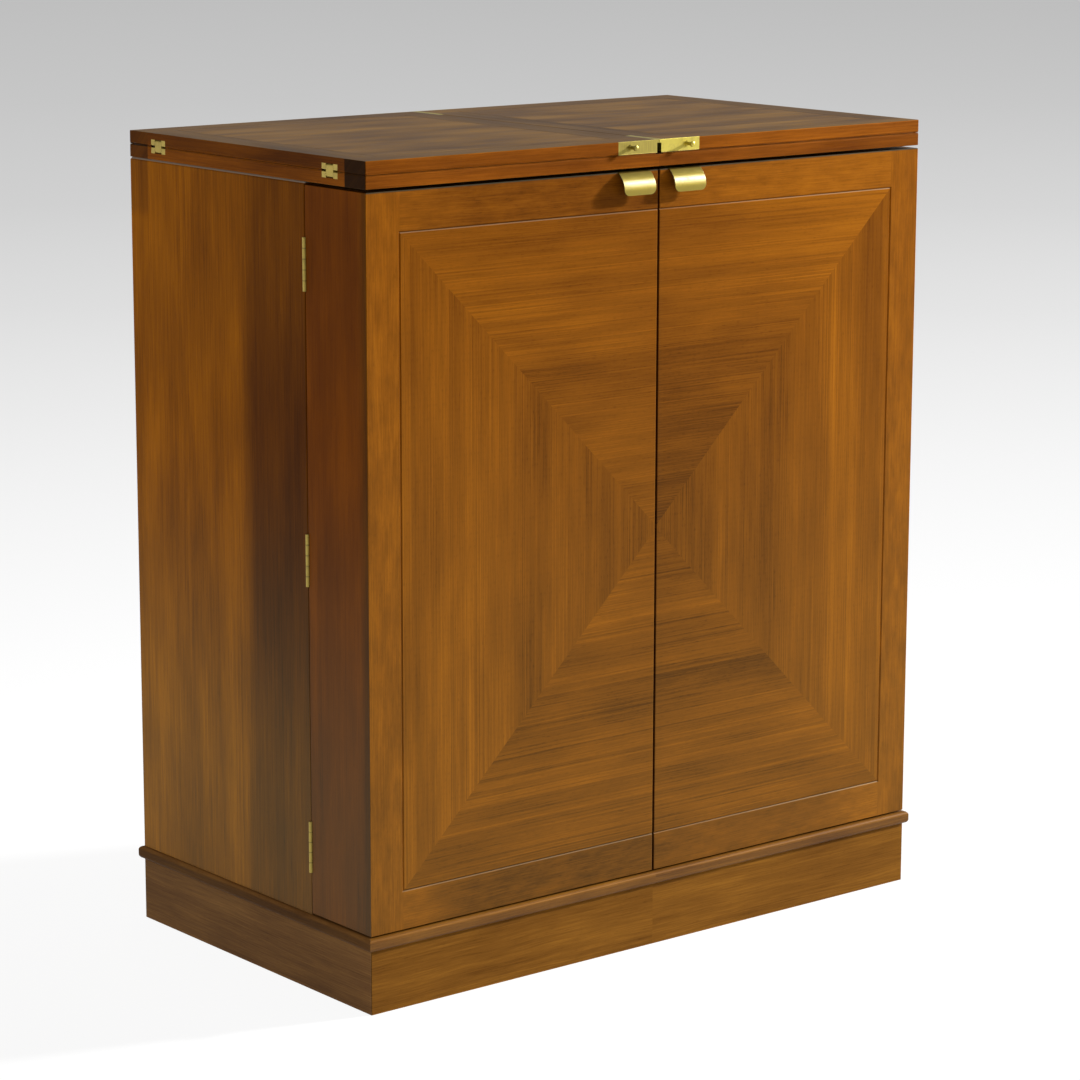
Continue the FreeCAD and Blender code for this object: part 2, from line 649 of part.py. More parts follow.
def pull_blank():
    """Seat of the pull's flange in the top edge of the door."""
    z = (CARCASS_TOP - PULL_THICKNESS, CARCASS_TOP)
    return block(pull_limits(), (FRONT - OVERCUT, FRONT + PULL_FLANGE), z)


def door_pull():
    """Bent plate: a flange on the door's top edge, a round bend and a straight tab."""
    x = pull_limits()[0]
    face_y = FRONT - PULL_PROJECTION
    bend_y = face_y + PULL_BEND
    bend_z = CARCASS_TOP - PULL_BEND
    foot_z = CARCASS_TOP - PULL_DROP
    heel_y = FRONT + PULL_FLANGE
    inner = PULL_BEND - PULL_THICKNESS
    slant = 0.5 ** 0.5
    heel_top = Vector(x, heel_y, CARCASS_TOP)
    bend_top = Vector(x, bend_y, CARCASS_TOP)
    bend_mid = Vector(x, bend_y - PULL_BEND * slant, bend_z + PULL_BEND * slant)
    bend_low = Vector(x, face_y, bend_z)
    foot = Vector(x, face_y, foot_z)
    foot_in = Vector(x, face_y + PULL_THICKNESS, foot_z)
    in_low = Vector(x, face_y + PULL_THICKNESS, bend_z)
    in_mid = Vector(x, bend_y - inner * slant, bend_z + inner * slant)
    in_top = Vector(x, bend_y, CARCASS_TOP - PULL_THICKNESS)
    heel_low = Vector(x, heel_y, CARCASS_TOP - PULL_THICKNESS)
    outline = [Part.LineSegment(heel_top, bend_top), Part.Arc(bend_top, bend_mid, bend_low),
               Part.LineSegment(bend_low, foot), Part.LineSegment(foot, foot_in),
               Part.LineSegment(foot_in, in_low), Part.Arc(in_low, in_mid, in_top),
               Part.LineSegment(in_top, heel_low), Part.LineSegment(heel_low, heel_top)]
    plate = Part.Face(Part.Wire([side.toShape() for side in outline])).extrude(Vector(PULL_WIDTH, 0, 0))
    corners = [edge for edge in plate.Edges if lies_on(edge, ("z", foot_z)) and is_along_y(edge)]
    return plate.makeFillet(PULL_CORNER, corners)


def is_along_y(edge):
    """Whether an edge runs front to back."""
    ends = [vertex.Point for vertex in edge.Vertexes]
    return abs(ends[0].x - ends[-1].x) < TOLERANCE and abs(ends[0].y - ends[-1].y) > TOLERANCE


# ---- Door hinges ----
def hinge_middles():
    """Heights of the middles of the three hinges of a door."""
    top = CARCASS_TOP - HINGE_TOP_SETBACK
    bottom = DOOR_BOTTOM + HINGE_BOTTOM_SETBACK
    return (bottom, (bottom + top) / 2, top)


def hinge_plate_limits(toward):
    """Depth limits of a hinge plate: toward is 1 on the carcass and -1 on the door."""
    near = PIN_LINE_Y + toward * HINGE_AIR / 2
    far = near + toward * HINGE_PLATE_THICKNESS
    return min(near, far), max(near, far)


def hinge_seat(middle, toward):
    """What a side board gives up for one hinge."""
    low = middle - HINGE_LENGTH / 2
    plate_y = hinge_plate_limits(toward)
    x = (-HALF_WIDTH - OVERCUT, hinge_plate_end())
    plate = block(x, plate_y, (low, low + HINGE_LENGTH))
    radius = HINGE_BARREL_RADIUS + HINGE_AIR
    barrel = rod((PIN_LINE_X, PIN_LINE_Y, low - HINGE_AIR), (0, 0, 1), HINGE_LENGTH + 2 * HINGE_AIR, radius)
    return plate.fuse(barrel)


def hinge_plate_end():
    """Inner edge of a hinge plate."""
    return PIN_LINE_X + HINGE_BARREL_RADIUS + HINGE_AIR + HINGE_PLATE_WIDTH


def hinge_leaf(middle, toward):
    """Plate with every second knuckle: the outer ones on the carcass, the rest on the door."""
    low = middle - HINGE_LENGTH / 2
    pitch = HINGE_LENGTH / HINGE_KNUCKLES
    plate_y = hinge_plate_limits(toward)
    plate_start = PIN_LINE_X + HINGE_BARREL_RADIUS + HINGE_AIR
    leaf = block((plate_start, hinge_plate_end()), plate_y, (low, low + HINGE_LENGTH))
    first = 0 if toward > 0 else 1
    for number in range(first, HINGE_KNUCKLES, 2):
        bottom = low + number * pitch + HINGE_AIR / 2
        height = pitch - HINGE_AIR
        knuckle = rod((PIN_LINE_X, PIN_LINE_Y, bottom), (0, 0, 1), height, HINGE_BARREL_RADIUS)
        neck = block((PIN_LINE_X, plate_start), plate_y, (bottom, bottom + height))
        leaf = leaf.fuse(knuckle).fuse(neck)
    bore_radius = HINGE_PIN_RADIUS + (PIN_FIXED_FIT if toward > 0 else PIN_RUNNING_FIT)
    bore = rod((PIN_LINE_X, PIN_LINE_Y, low - OVERCUT), (0, 0, 1), HINGE_LENGTH + 2 * OVERCUT, bore_radius)
    return leaf.removeSplitter().cut(bore)


def hinge_pin(middle):
    """Pin of one door hinge."""
    return rod((PIN_LINE_X, PIN_LINE_Y, middle - HINGE_LENGTH / 2), (0, 0, 1), HINGE_LENGTH, HINGE_PIN_RADIUS)


# ---- Magnetic catch ----
def magnetic_catch():
    """Double catch under the middle of the carcass top."""
    top = CARCASS_TOP - CARCASS_TOP_THICKNESS
    front = DOOR_REAR + CATCH_AIR
    half = CATCH_WIDTH / 2
    body = block((-half, half), (front, front + CATCH_DEPTH), (top - CATCH_HEIGHT, top))
    upright_front = [edge for edge in edges_on(body, [("x", -half), ("x", half)]) if not edges_lie_flat(edge)]
    return body.makeFillet(EDGE_EASE, upright_front)


def strike_plate():
    """Steel plate let into the rear edge of the left door's meeting side."""
    middle_x = MEETING_X - DOOR_INNER_BOARD / 2
    middle_z = CARCASS_TOP - CARCASS_TOP_THICKNESS - CATCH_HEIGHT / 2
    x = (middle_x - STRIKE_WIDTH / 2, middle_x + STRIKE_WIDTH / 2)
    z = (middle_z - STRIKE_HEIGHT / 2, middle_z + STRIKE_HEIGHT / 2)
    return block(x, (DOOR_REAR - STRIKE_THICKNESS, DOOR_REAR), z)


# ---- The whole cabinet ----
def cabinet_nodes():
    """Nodes that stay still, each a list of solids."""
    nodes = {**plinth_boards(), **base_mouldings(), **serving_top()}
    side = carcass_side()
    plates = [flap_plate(middle, LOWER_PIN_Z, *lower_plate_limits()) for middle in FLAP_MIDDLES]
    nodes.update({
        "plinth_bearer": [plinth_bearer()],
        "base_deck": [base_deck()],
        "carcass_left_side": [side],
        "carcass_right_side": [to_right(side)],
        "carcass_top": [carcass_top()],
        "top_spacers": top_spacers(),
        "back_panel": [back_panel()],
        "fixed_shelf": [fixed_shelf()],
        "adjustable_shelf": [adjustable_shelf()],
        "shelf_pins": shelf_pins(),
        "magnetic_catch": [magnetic_catch()],
        "door_hinge_carcass_leaves": both_sides([hinge_leaf(middle, 1) for middle in hinge_middles()]),
        "door_hinge_pins": both_sides([hinge_pin(middle) for middle in hinge_middles()]),
        "leaf_hinge_base_plates": both_sides(plates),
    })
    return nodes


def left_door_nodes():
    """Nodes of the left door."""
    blank = door_blank()
    return {
        "door_panel": [door_panel(blank)],
        "door_outer_side": [door_outer_side(blank)],
        "door_inner_side": [door_inner_side()],
        "door_top": [door_top()],
        "door_bottom": [door_bottom()],
        "door_shelves": door_shelves(),
        "door_guard_rails": guard_rails(),
        "door_pull": [door_pull()],
        "door_hinge_leaves": [hinge_leaf(middle, -1) for middle in hinge_middles()],
        "door_strike": [strike_plate()],
    }


def left_leaf_nodes():
    """Nodes of the left leaf and of the links that carry it."""
    plates = [flap_plate(middle, UPPER_PIN_Z, *upper_plate_limits()) for middle in FLAP_MIDDLES]
    pins = [flap_pin(middle, pin_z) for middle in FLAP_MIDDLES for pin_z in (LOWER_PIN_Z, UPPER_PIN_Z)]
    nodes = left_leaf()
    nodes.update({
        "leaf_corner_plates": [drilled_corner_plate(), to_back(corner_plate())],
        "leaf_knob": [knob()],
        "leaf_hinge_links": [flap_link(middle) for middle in FLAP_MIDDLES],
        "leaf_hinge_plates": plates,
        "leaf_hinge_pins": pins,
    })
    return nodes


def main():
    """Write every node to its own file."""
    os.makedirs("parts", exist_ok=True)
    nodes = cabinet_nodes()
    for name, solids in {**left_door_nodes(), **left_leaf_nodes()}.items():
        nodes["left_" + name] = solids
        nodes["right_" + name] = [to_right(solid) for solid in solids]
    for name, solids in nodes.items():
        shape = solids[0] if len(solids) == 1 else Part.makeCompound(solids)
        shape.exportStep(os.path.join("parts", name + ".step"))
        print(name, len(shape.Solids), round(shape.Volume), shape.isValid())


main()
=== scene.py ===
"""Veneers, brass, small fittings and studio of a bar cabinet with a fold-out top.

Metres, in the cabinet's own frame: +X to the right, +Z up, the front faces -Y and the origin lies on
the floor under the middle of the plinth. Left and right halves mirror each other across X = 0.
"""
import math

import bmesh
import bpy
from bpy.props import FloatProperty, FloatVectorProperty, IntProperty, PointerProperty
from mathutils import Matrix, Vector


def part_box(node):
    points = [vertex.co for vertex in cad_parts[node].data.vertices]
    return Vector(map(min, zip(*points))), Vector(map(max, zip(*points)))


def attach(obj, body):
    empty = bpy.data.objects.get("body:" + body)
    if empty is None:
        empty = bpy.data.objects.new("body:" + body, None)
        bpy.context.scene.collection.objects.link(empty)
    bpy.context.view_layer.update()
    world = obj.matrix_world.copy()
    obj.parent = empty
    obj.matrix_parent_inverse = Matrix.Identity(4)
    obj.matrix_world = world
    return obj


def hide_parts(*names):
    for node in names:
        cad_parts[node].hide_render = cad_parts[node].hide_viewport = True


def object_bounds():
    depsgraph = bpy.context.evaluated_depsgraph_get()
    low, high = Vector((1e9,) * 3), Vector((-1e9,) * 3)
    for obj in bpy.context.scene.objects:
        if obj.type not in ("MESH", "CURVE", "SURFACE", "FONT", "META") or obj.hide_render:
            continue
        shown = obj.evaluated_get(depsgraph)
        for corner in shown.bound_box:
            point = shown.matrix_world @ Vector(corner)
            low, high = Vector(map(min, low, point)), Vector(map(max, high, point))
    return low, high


bl_info = {
    "name": "Bar Cabinet Finish",
    "version": (1, 0, 0),
    "blender": (4, 5, 0),
    "location": "3D View > Sidebar > Bar Cabinet",
    "description": "Veneers, brass, small fittings and a studio for the bar cabinet",
    "category": "Object",
}

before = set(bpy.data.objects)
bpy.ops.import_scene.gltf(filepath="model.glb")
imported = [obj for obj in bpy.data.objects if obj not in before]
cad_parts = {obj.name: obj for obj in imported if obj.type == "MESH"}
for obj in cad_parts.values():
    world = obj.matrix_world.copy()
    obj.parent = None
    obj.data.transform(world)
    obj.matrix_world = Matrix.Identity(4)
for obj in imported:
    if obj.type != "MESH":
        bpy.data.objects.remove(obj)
CAD_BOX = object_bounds()

# ---- Sizes shared with the cabinet's construction ----
MM = 0.001
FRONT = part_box("left_door_panel")[0].y
DOOR_LOW, DOOR_HIGH = (corner.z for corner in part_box("left_door_panel"))
HALF_WIDTH = -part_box("carcass_left_side")[0].x
GROOVE_BORDER = 48 * MM         # from the door's edges to the middle of its groove
RAIL = 40 * MM                  # width of the rails of leaves and serving top
BEVEL = 2.2 * MM                # height of the bevel along the top of the carcass sides
HINGE_LENGTH = 63.5 * MM        # of a door hinge
HINGE_KNUCKLES = 5
HINGE_PLATE_GAP = 0.3 * MM      # between the two plates of a closed door hinge
LEAF_PLATE = 31 * MM            # length of a leaf hinge's plate along the edge

# ---- Patterns of the veneers ----
# Tone of the door veneer around 0.5, by the distance inwards from the groove in millimetres.
DOOR_TONES = [(0, 0.52), (16, 0.52), (22, 0.46), (30, 0.47), (36, 0.50), (60, 0.50), (65, 0.59),
              (70, 0.58), (74, 0.50), (92, 0.49), (97, 0.59), (104, 0.57), (110, 0.49), (163, 0.48),
              (172, 0.38), (184, 0.33), (214, 0.32), (224, 0.40), (230, 0.46), (242, 0.46), (252, 0.40),
              (283, 0.40), (290, 0.48), (298, 0.47), (305, 0.39), (317, 0.39), (325, 0.47), (330, 0.47),
              (338, 0.37), (392, 0.36)]
# How much paler or darker a leaf of the door veneer is, partly its own tone and partly painted sheen:
# beside, above and below the doors' centre, each for the left and the right door.
LEAVES_AT_GROOVE = ((0.01, 0.02), (-0.07, 0.12), (-0.13, -0.08))
LEAVES_AT_CENTRE = ((-0.03, -0.09), (0.08, -0.10), (0.03, -0.03))
LEAVES_IN_BORDER = ((0.01, 0.06), (-0.19, 0.12), (-0.30, -0.16))
UPPER_SLOPE = 0.30              # painted light: how much the right door's upper leaf pales from the middle to its edge; the next, its lower leaf
LOWER_SLOPE = 0.14
RIGHT_SLIP = 7 * MM             # how far the stripes of some leaves are out of line with their neighbours
LOWER_SLIP = 11 * MM
# Tone of the side veneer around 0.5, by the distance forwards from the back edge in millimetres.
SIDE_TONES = [(0, 0.54), (25, 0.60), (60, 0.59), (90, 0.52), (120, 0.50), (165, 0.50), (180, 0.45),
              (205, 0.54), (235, 0.53), (372, 0.44)]
SMOKE_START = (226 * MM, 268 * MM)  # from the back edge to where the side's smoky front part begins
SMOKE_TOP = (0.95, 0.66)        # heights between which the smoke comes in downwards
SMOKE_FOOT = (0.22, 0.46)       # and upwards
CORNER_BACK = (46 * MM, 34 * MM)    # the top rear corner darkens towards the back edge
CORNER_TOP = (0.905, 0.925)     # and upwards
SIDE_FOOT = (0.62, 0.22)        # heights between which a painted olive reflection of the floor comes in at the left side's foot
# Painted olive reflection of the floor at the foot of the cabinet, and the heights between which it comes
# in.
DOOR_PAINTED_FLOOR_REFLECTION, DOOR_FADE = (0.000, 0.020, 0.010, 1), (1.05, 0.05)
SIDE_PAINTED_FLOOR_REFLECTION, SIDE_FADE = (0.016, 0.042, 0.030, 1), (0.72, 0.14)

# ---- Colours that follow from a wood's own: what it is multiplied by ----
DARK_SHARE = (0.40, 0.34, 0.40)         # its darkest tone
PALE_SHARE = (1.75, 1.85, 1.70)         # its palest tone
END_GRAIN_SHARE = (0.13, 0.16, 0.12, 1)
THIN_LACQUER_AND_GLINT_SHARE = (1.6, 1.65, 1.7, 1)      # where the lacquer is thinned along the edges, with painted glints there too
DOOR_EDGE_PAINTED_SHADE = (0.50, 0.44, 0.60, 1)     # painted shade where the door fronts face sideways
UPRIGHT_GROOVE_PAINTED_LIGHT = (1.5, 1.45, 1.4, 1)     # painted light that pales the upright grooves
RETURN_CORNER_SHARE = (0.62, 0.77, 0.95, 1)  # of the doors' outer sides, towards the front
SMOKE_SHARE = (0.27, 0.215, 0.26, 1)
# painted reflection of the floor at the left side's foot
SIDE_FOOT_PAINTED_REFLECTION = (1.05, 1.15, 1.10, 1)
TOP_SHARES = {"rails": 0.86, "stiles": 0.74, "panel": 1.0}  # of the veneer on flat faces
MOULDING_SHARE = 1.25                   # of the moulding against the plinth's boards
BARREL_SHARE = 0.92                     # of the door hinges against the leaf hinges
# By how far up a surface faces: painted highlight and shade on the round moulding, and the pulls' colours
# with a painted highlight and shade.
MOULDING_PAINTED_LIGHT = [(0.0, 0.66), (0.30, 0.80), (0.46, 1.0), (0.54, 1.0), (0.72, 0.72), (1.0, 0.66)]
PULL_PAINTED_LIGHT = [(0.0, (0.6, 0.6, 0.6)), (0.12, (0.9, 0.9, 0.9)), (0.36, (1.0, 1.15, 3.4)),
               (0.42, (1.0, 1.15, 3.4)), (0.56, (0.62, 0.62, 0.62)), (1.0, (0.62, 0.62, 0.62))]

# ---- Colours of their own ----
# painted shade in the level grooves of the doors
GROOVE_PAINTED_SHADE = (0.035, 0.012, 0.006, 1)
GROOVE_PAINTED_HIGHLIGHT = (0.44, 0.35, 0.22, 1)    # painted highlight on the upward slope of the doors' grooves
# painted dim reflection on the door's top edge
DOOR_TOP_PAINTED_REFLECTION = (0.028, 0.034, 0.024, 1)
# painted highlight on the bevel along the top of the carcass sides
SIDE_BEVEL_PAINTED_HIGHLIGHT = (0.36, 0.275, 0.21, 1)
KNUCKLE_LINE = (0.03, 0.02, 0.01, 1)
PLINTH_SIDE_PAINTED_REFLECTION = (0.0, 0.014, 0.020)      # painted grey reflection, added to the boards that run from front to back
MOULDING_SIDE_PAINTED_REFLECTION = (0.0, 0.006, 0.012)

# ---- Studio ----
# Seen grey of the floor by distance from the cabinet in metres, a painted pool of light, and of the
# backdrop by height.
FLOOR_SHADES = [(0.0, 0.92), (1.1, 0.88), (1.8, 0.83), (2.7, 0.775), (4.0, 0.70), (5.7, 0.615),
                (8.3, 0.54), (12.7, 0.50), (20.7, 0.47), (30.0, 0.46)]
BACKDROP_SHADES = [(0.0, 0.52), (0.35, 0.46), (1.0, 0.22)]
FLOOR_PAINT = (0.5, 0.5, 0.5, 1)        # for the light that the floor throws back
FLOOR_PAINT_SEEN = (0.12, 0.12, 0.12, 1)    # and for the shadow that is seen on it
LAMP_DISTANCE = 5.0                     # of the fill lamp and the top lamp
FILL_SIZE = 3.0
TOP_SIZE = 1.4


# ---- Shader node helpers ----
class Tree:
    """Adds and links the nodes of one shader tree."""

    def __init__(self, tree):
        self.tree = tree

    def put(self, socket, value):
        """Link another node's output to a socket, or set the socket's own value."""
        if isinstance(value, bpy.types.NodeSocket):
            self.tree.links.new(value, socket)
        else:
            socket.default_value = value

    def node(self, kind, inputs=None, **settings):
        """New node with its settings and inputs."""
        node = self.tree.nodes.new("ShaderNode" + kind)
        for name, value in settings.items():
            setattr(node, name, value)
        for name, value in (inputs or {}).items():
            self.put(node.inputs[name], value)
        return node

    def show(self, shader, kind="OutputMaterial"):
        """Link a shader to the tree's output."""
        self.put(self.node(kind).inputs[0], shader.outputs[0])

    def place(self):
        """Where the surface lies in the cabinet's frame."""
        return self.node("TexCoord").outputs["Object"]

    def facing(self):
        """The three parts of the direction that the surface faces."""
        return self.split(self.node("TexCoord").outputs["Normal"])

    def math(self, operation, *values):
        """One arithmetic step on numbers."""
        node = self.node("Math", operation=operation)
        for socket, value in zip(node.inputs, values):
            self.put(socket, value)
        return node.outputs[0]

    def mix(self, factor, first, second):
        """Number between two numbers."""
        node = self.node("Mix", data_type="FLOAT")
        for index, value in enumerate((factor, first, second)):
            self.put(node.inputs[(0, 2, 3)[index]], value)
        return node.outputs[0]

    def blend(self, factor, first, second, mode="MIX"):
        """Colour between two colours."""
        node = self.node("Mix", data_type="RGBA", blend_type=mode)
        for index, value in enumerate((factor, first, second)):
            self.put(node.inputs[(0, 6, 7)[index]], value)
        return node.outputs[2]

    def tint(self, mask, colour, share):
        """A colour multiplied by another where a mask says."""
        return self.blend(mask, colour, share, "MULTIPLY")

    def split(self, vector):
        """The three parts of a vector."""
        return self.node("SeparateXYZ", {"Vector": vector}).outputs

    def join(self, x, y, z):
        """Vector of three numbers."""
        return self.node("CombineXYZ", {"X": x, "Y": y, "Z": z}).outputs[0]

    def stretch(self, vector, scale):
        """Vector with each part multiplied by its own scale."""
        return self.node("VectorMath", {0: vector, 1: scale}, operation="MULTIPLY").outputs[0]

    def ramp(self, value, stops):
        """Colours or tones along a number; each stop is a position and a tone or colour."""
        node = self.node("ValToRGB", {"Fac": value})
        elements = node.color_ramp.elements
        while len(elements) < len(stops):
            elements.new(1.0)
        for element, (position, colour) in zip(elements, stops):
            element.position = position
            element.color = (*colour, 1.0) if isinstance(colour, (tuple, list)) else (colour,) * 3 + (1.0,)
        return node.outputs["Color"]

    def profile(self, distance, stops, unit=MM):
        """Tone along a distance; each stop is a distance in the unit and a tone."""
        span = stops[-1][0]
        return self.ramp(self.math("DIVIDE", distance, span * unit),
                         [(place / span, tone) for place, tone in stops])

    def step(self, value, start, end, low=0.0, high=1.0):
        """Smooth change from low to high while a number goes from start to end."""
        inputs = {"Value": value, "From Min": start, "From Max": end, "To Min": low, "To Max": high}
        return self.node("MapRange", inputs, interpolation_type="SMOOTHSTEP").outputs[0]

    def noise(self, vector, detail=2.0, roughness=0.5):
        """Fractal noise whose features are about one unit wide."""
        inputs = {"Vector": vector, "Scale": 1.0, "Detail": detail, "Roughness": roughness}
        return self.node("TexNoise", inputs).outputs[0]

    def group(self, name, make, inputs):
        """A shared node group, built where it is first used and placed with its own values."""
        tree = bpy.data.node_groups.get(name) or make(name)
        return self.node("Group", inputs, node_tree=tree).outputs


def new_material(name):
    """Material whose nodes are still to come, and the helper for its tree."""
    material = bpy.data.materials.new(name)
    material.use_nodes = True
    material.node_tree.nodes.clear()
    return material, Tree(material.node_tree)


def new_group(name, inputs, outputs):
    """Empty shader node group with float and vector sockets: its helper and its two ends."""
    tree = bpy.data.node_groups.new(name, "ShaderNodeTree")
    for ends, way in ((inputs, "INPUT"), (outputs, "OUTPUT")):
        for socket, kind in ends.items():
            tree.interface.new_socket(name=socket, in_out=way, socket_type="NodeSocket" + kind)
    start = tree.nodes.new("NodeGroupInput")
    end = tree.nodes.new("NodeGroupOutput")
    return Tree(tree), start.outputs, end.inputs


def grain_group(name):
    """Straight-grained wood by its distances across and along the grain."""
    tree, start, end = new_group(
        name,
        dict.fromkeys(("Across", "Along", "Seed", "Pitch", "Wander"), "Float"),
        dict.fromkeys(("Lines", "Comb", "Fibres", "Pores", "Drift"), "Float"))
    across, along, seed = start["Across"], start["Along"], start["Seed"]
    bend = tree.noise(tree.join(tree.math("MULTIPLY", across, 9.0),
                                tree.math("MULTIPLY", along, 3.5), seed))
    bend = tree.math("MULTIPLY", tree.math("SUBTRACT", bend, 0.5), start["Wander"])
    across = tree.math("ADD", across, bend)

    def streaks(width, length, shift, detail):
        place = tree.join(tree.math("DIVIDE", across, width), tree.math("DIVIDE", along, length),
                          tree.math("ADD", seed, shift))
        return tree.noise(place, detail)

    tree.put(end["Lines"], streaks(start["Pitch"], 380 * MM, 0.0, 2.5))
    comb = tree.math("SUBTRACT", streaks(1.7 * MM, 700 * MM, 51.9, 0.0), 0.5)
    bunches = tree.step(streaks(11 * MM, 300 * MM, 61.3, 1.0), 0.36, 0.62, 0.30, 1.0)
    tree.put(end["Comb"], tree.math("ADD", tree.math("MULTIPLY", comb, bunches), 0.5))
    tree.put(end["Fibres"], streaks(1.3 * MM, 45 * MM, 11.3, 3.0))
    tree.put(end["Pores"], tree.step(streaks(1.0 * MM, 8 * MM, 23.7, 0.0), 0.66, 0.74))
    tree.put(end["Drift"], streaks(45 * MM, 200 * MM, 37.1, 2.0))
    return tree.tree


def arris_group(name):
    """How near a point of a box's surface is to the box's nearest edge: 1 on it, 0 from Width away."""
    tree, start, end = new_group(
        name, {"Position": "Vector", "Low": "Vector", "High": "Vector", "Width": "Float"},
        {"Mask": "Float"})
    position, low, high = (tree.split(start[socket]) for socket in ("Position", "Low", "High"))
    near = [tree.math("MINIMUM", tree.math("SUBTRACT", position[axis], low[axis]),
                      tree.math("SUBTRACT", high[axis], position[axis])) for axis in range(3)]
    pair_low = tree.math("MINIMUM", near[0], near[1])
    pair_high = tree.math("MAXIMUM", near[0], near[1])
    second = tree.math("MAXIMUM", pair_low, tree.math("MINIMUM", pair_high, near[2]))
    patchy = tree.noise(tree.stretch(start["Position"], (60, 60, 60)), 3.0)
    reach = tree.math("MULTIPLY", start["Width"], tree.math("ADD", patchy, 0.5))
    tree.put(end["Mask"], tree.step(second, reach, 0.0))
    return tree.tree


def metal_group(name):
    """Fine brushing and patches of tarnish on a metal surface."""
    tree, start, end = new_group(name, {"Position": "Vector", "Brushing": "Vector"},
                                 {"Scratches": "Float", "Tarnish": "Float"})
    tree.put(end["Scratches"], tree.noise(tree.stretch(start["Position"], start["Brushing"]), 2.0))
    patches = tree.noise(tree.stretch(start["Position"], (70, 70, 70)), 4.0, 0.6)
    tree.put(end["Tarnish"], tree.step(patches, 0.45, 0.75))
    return tree.tree


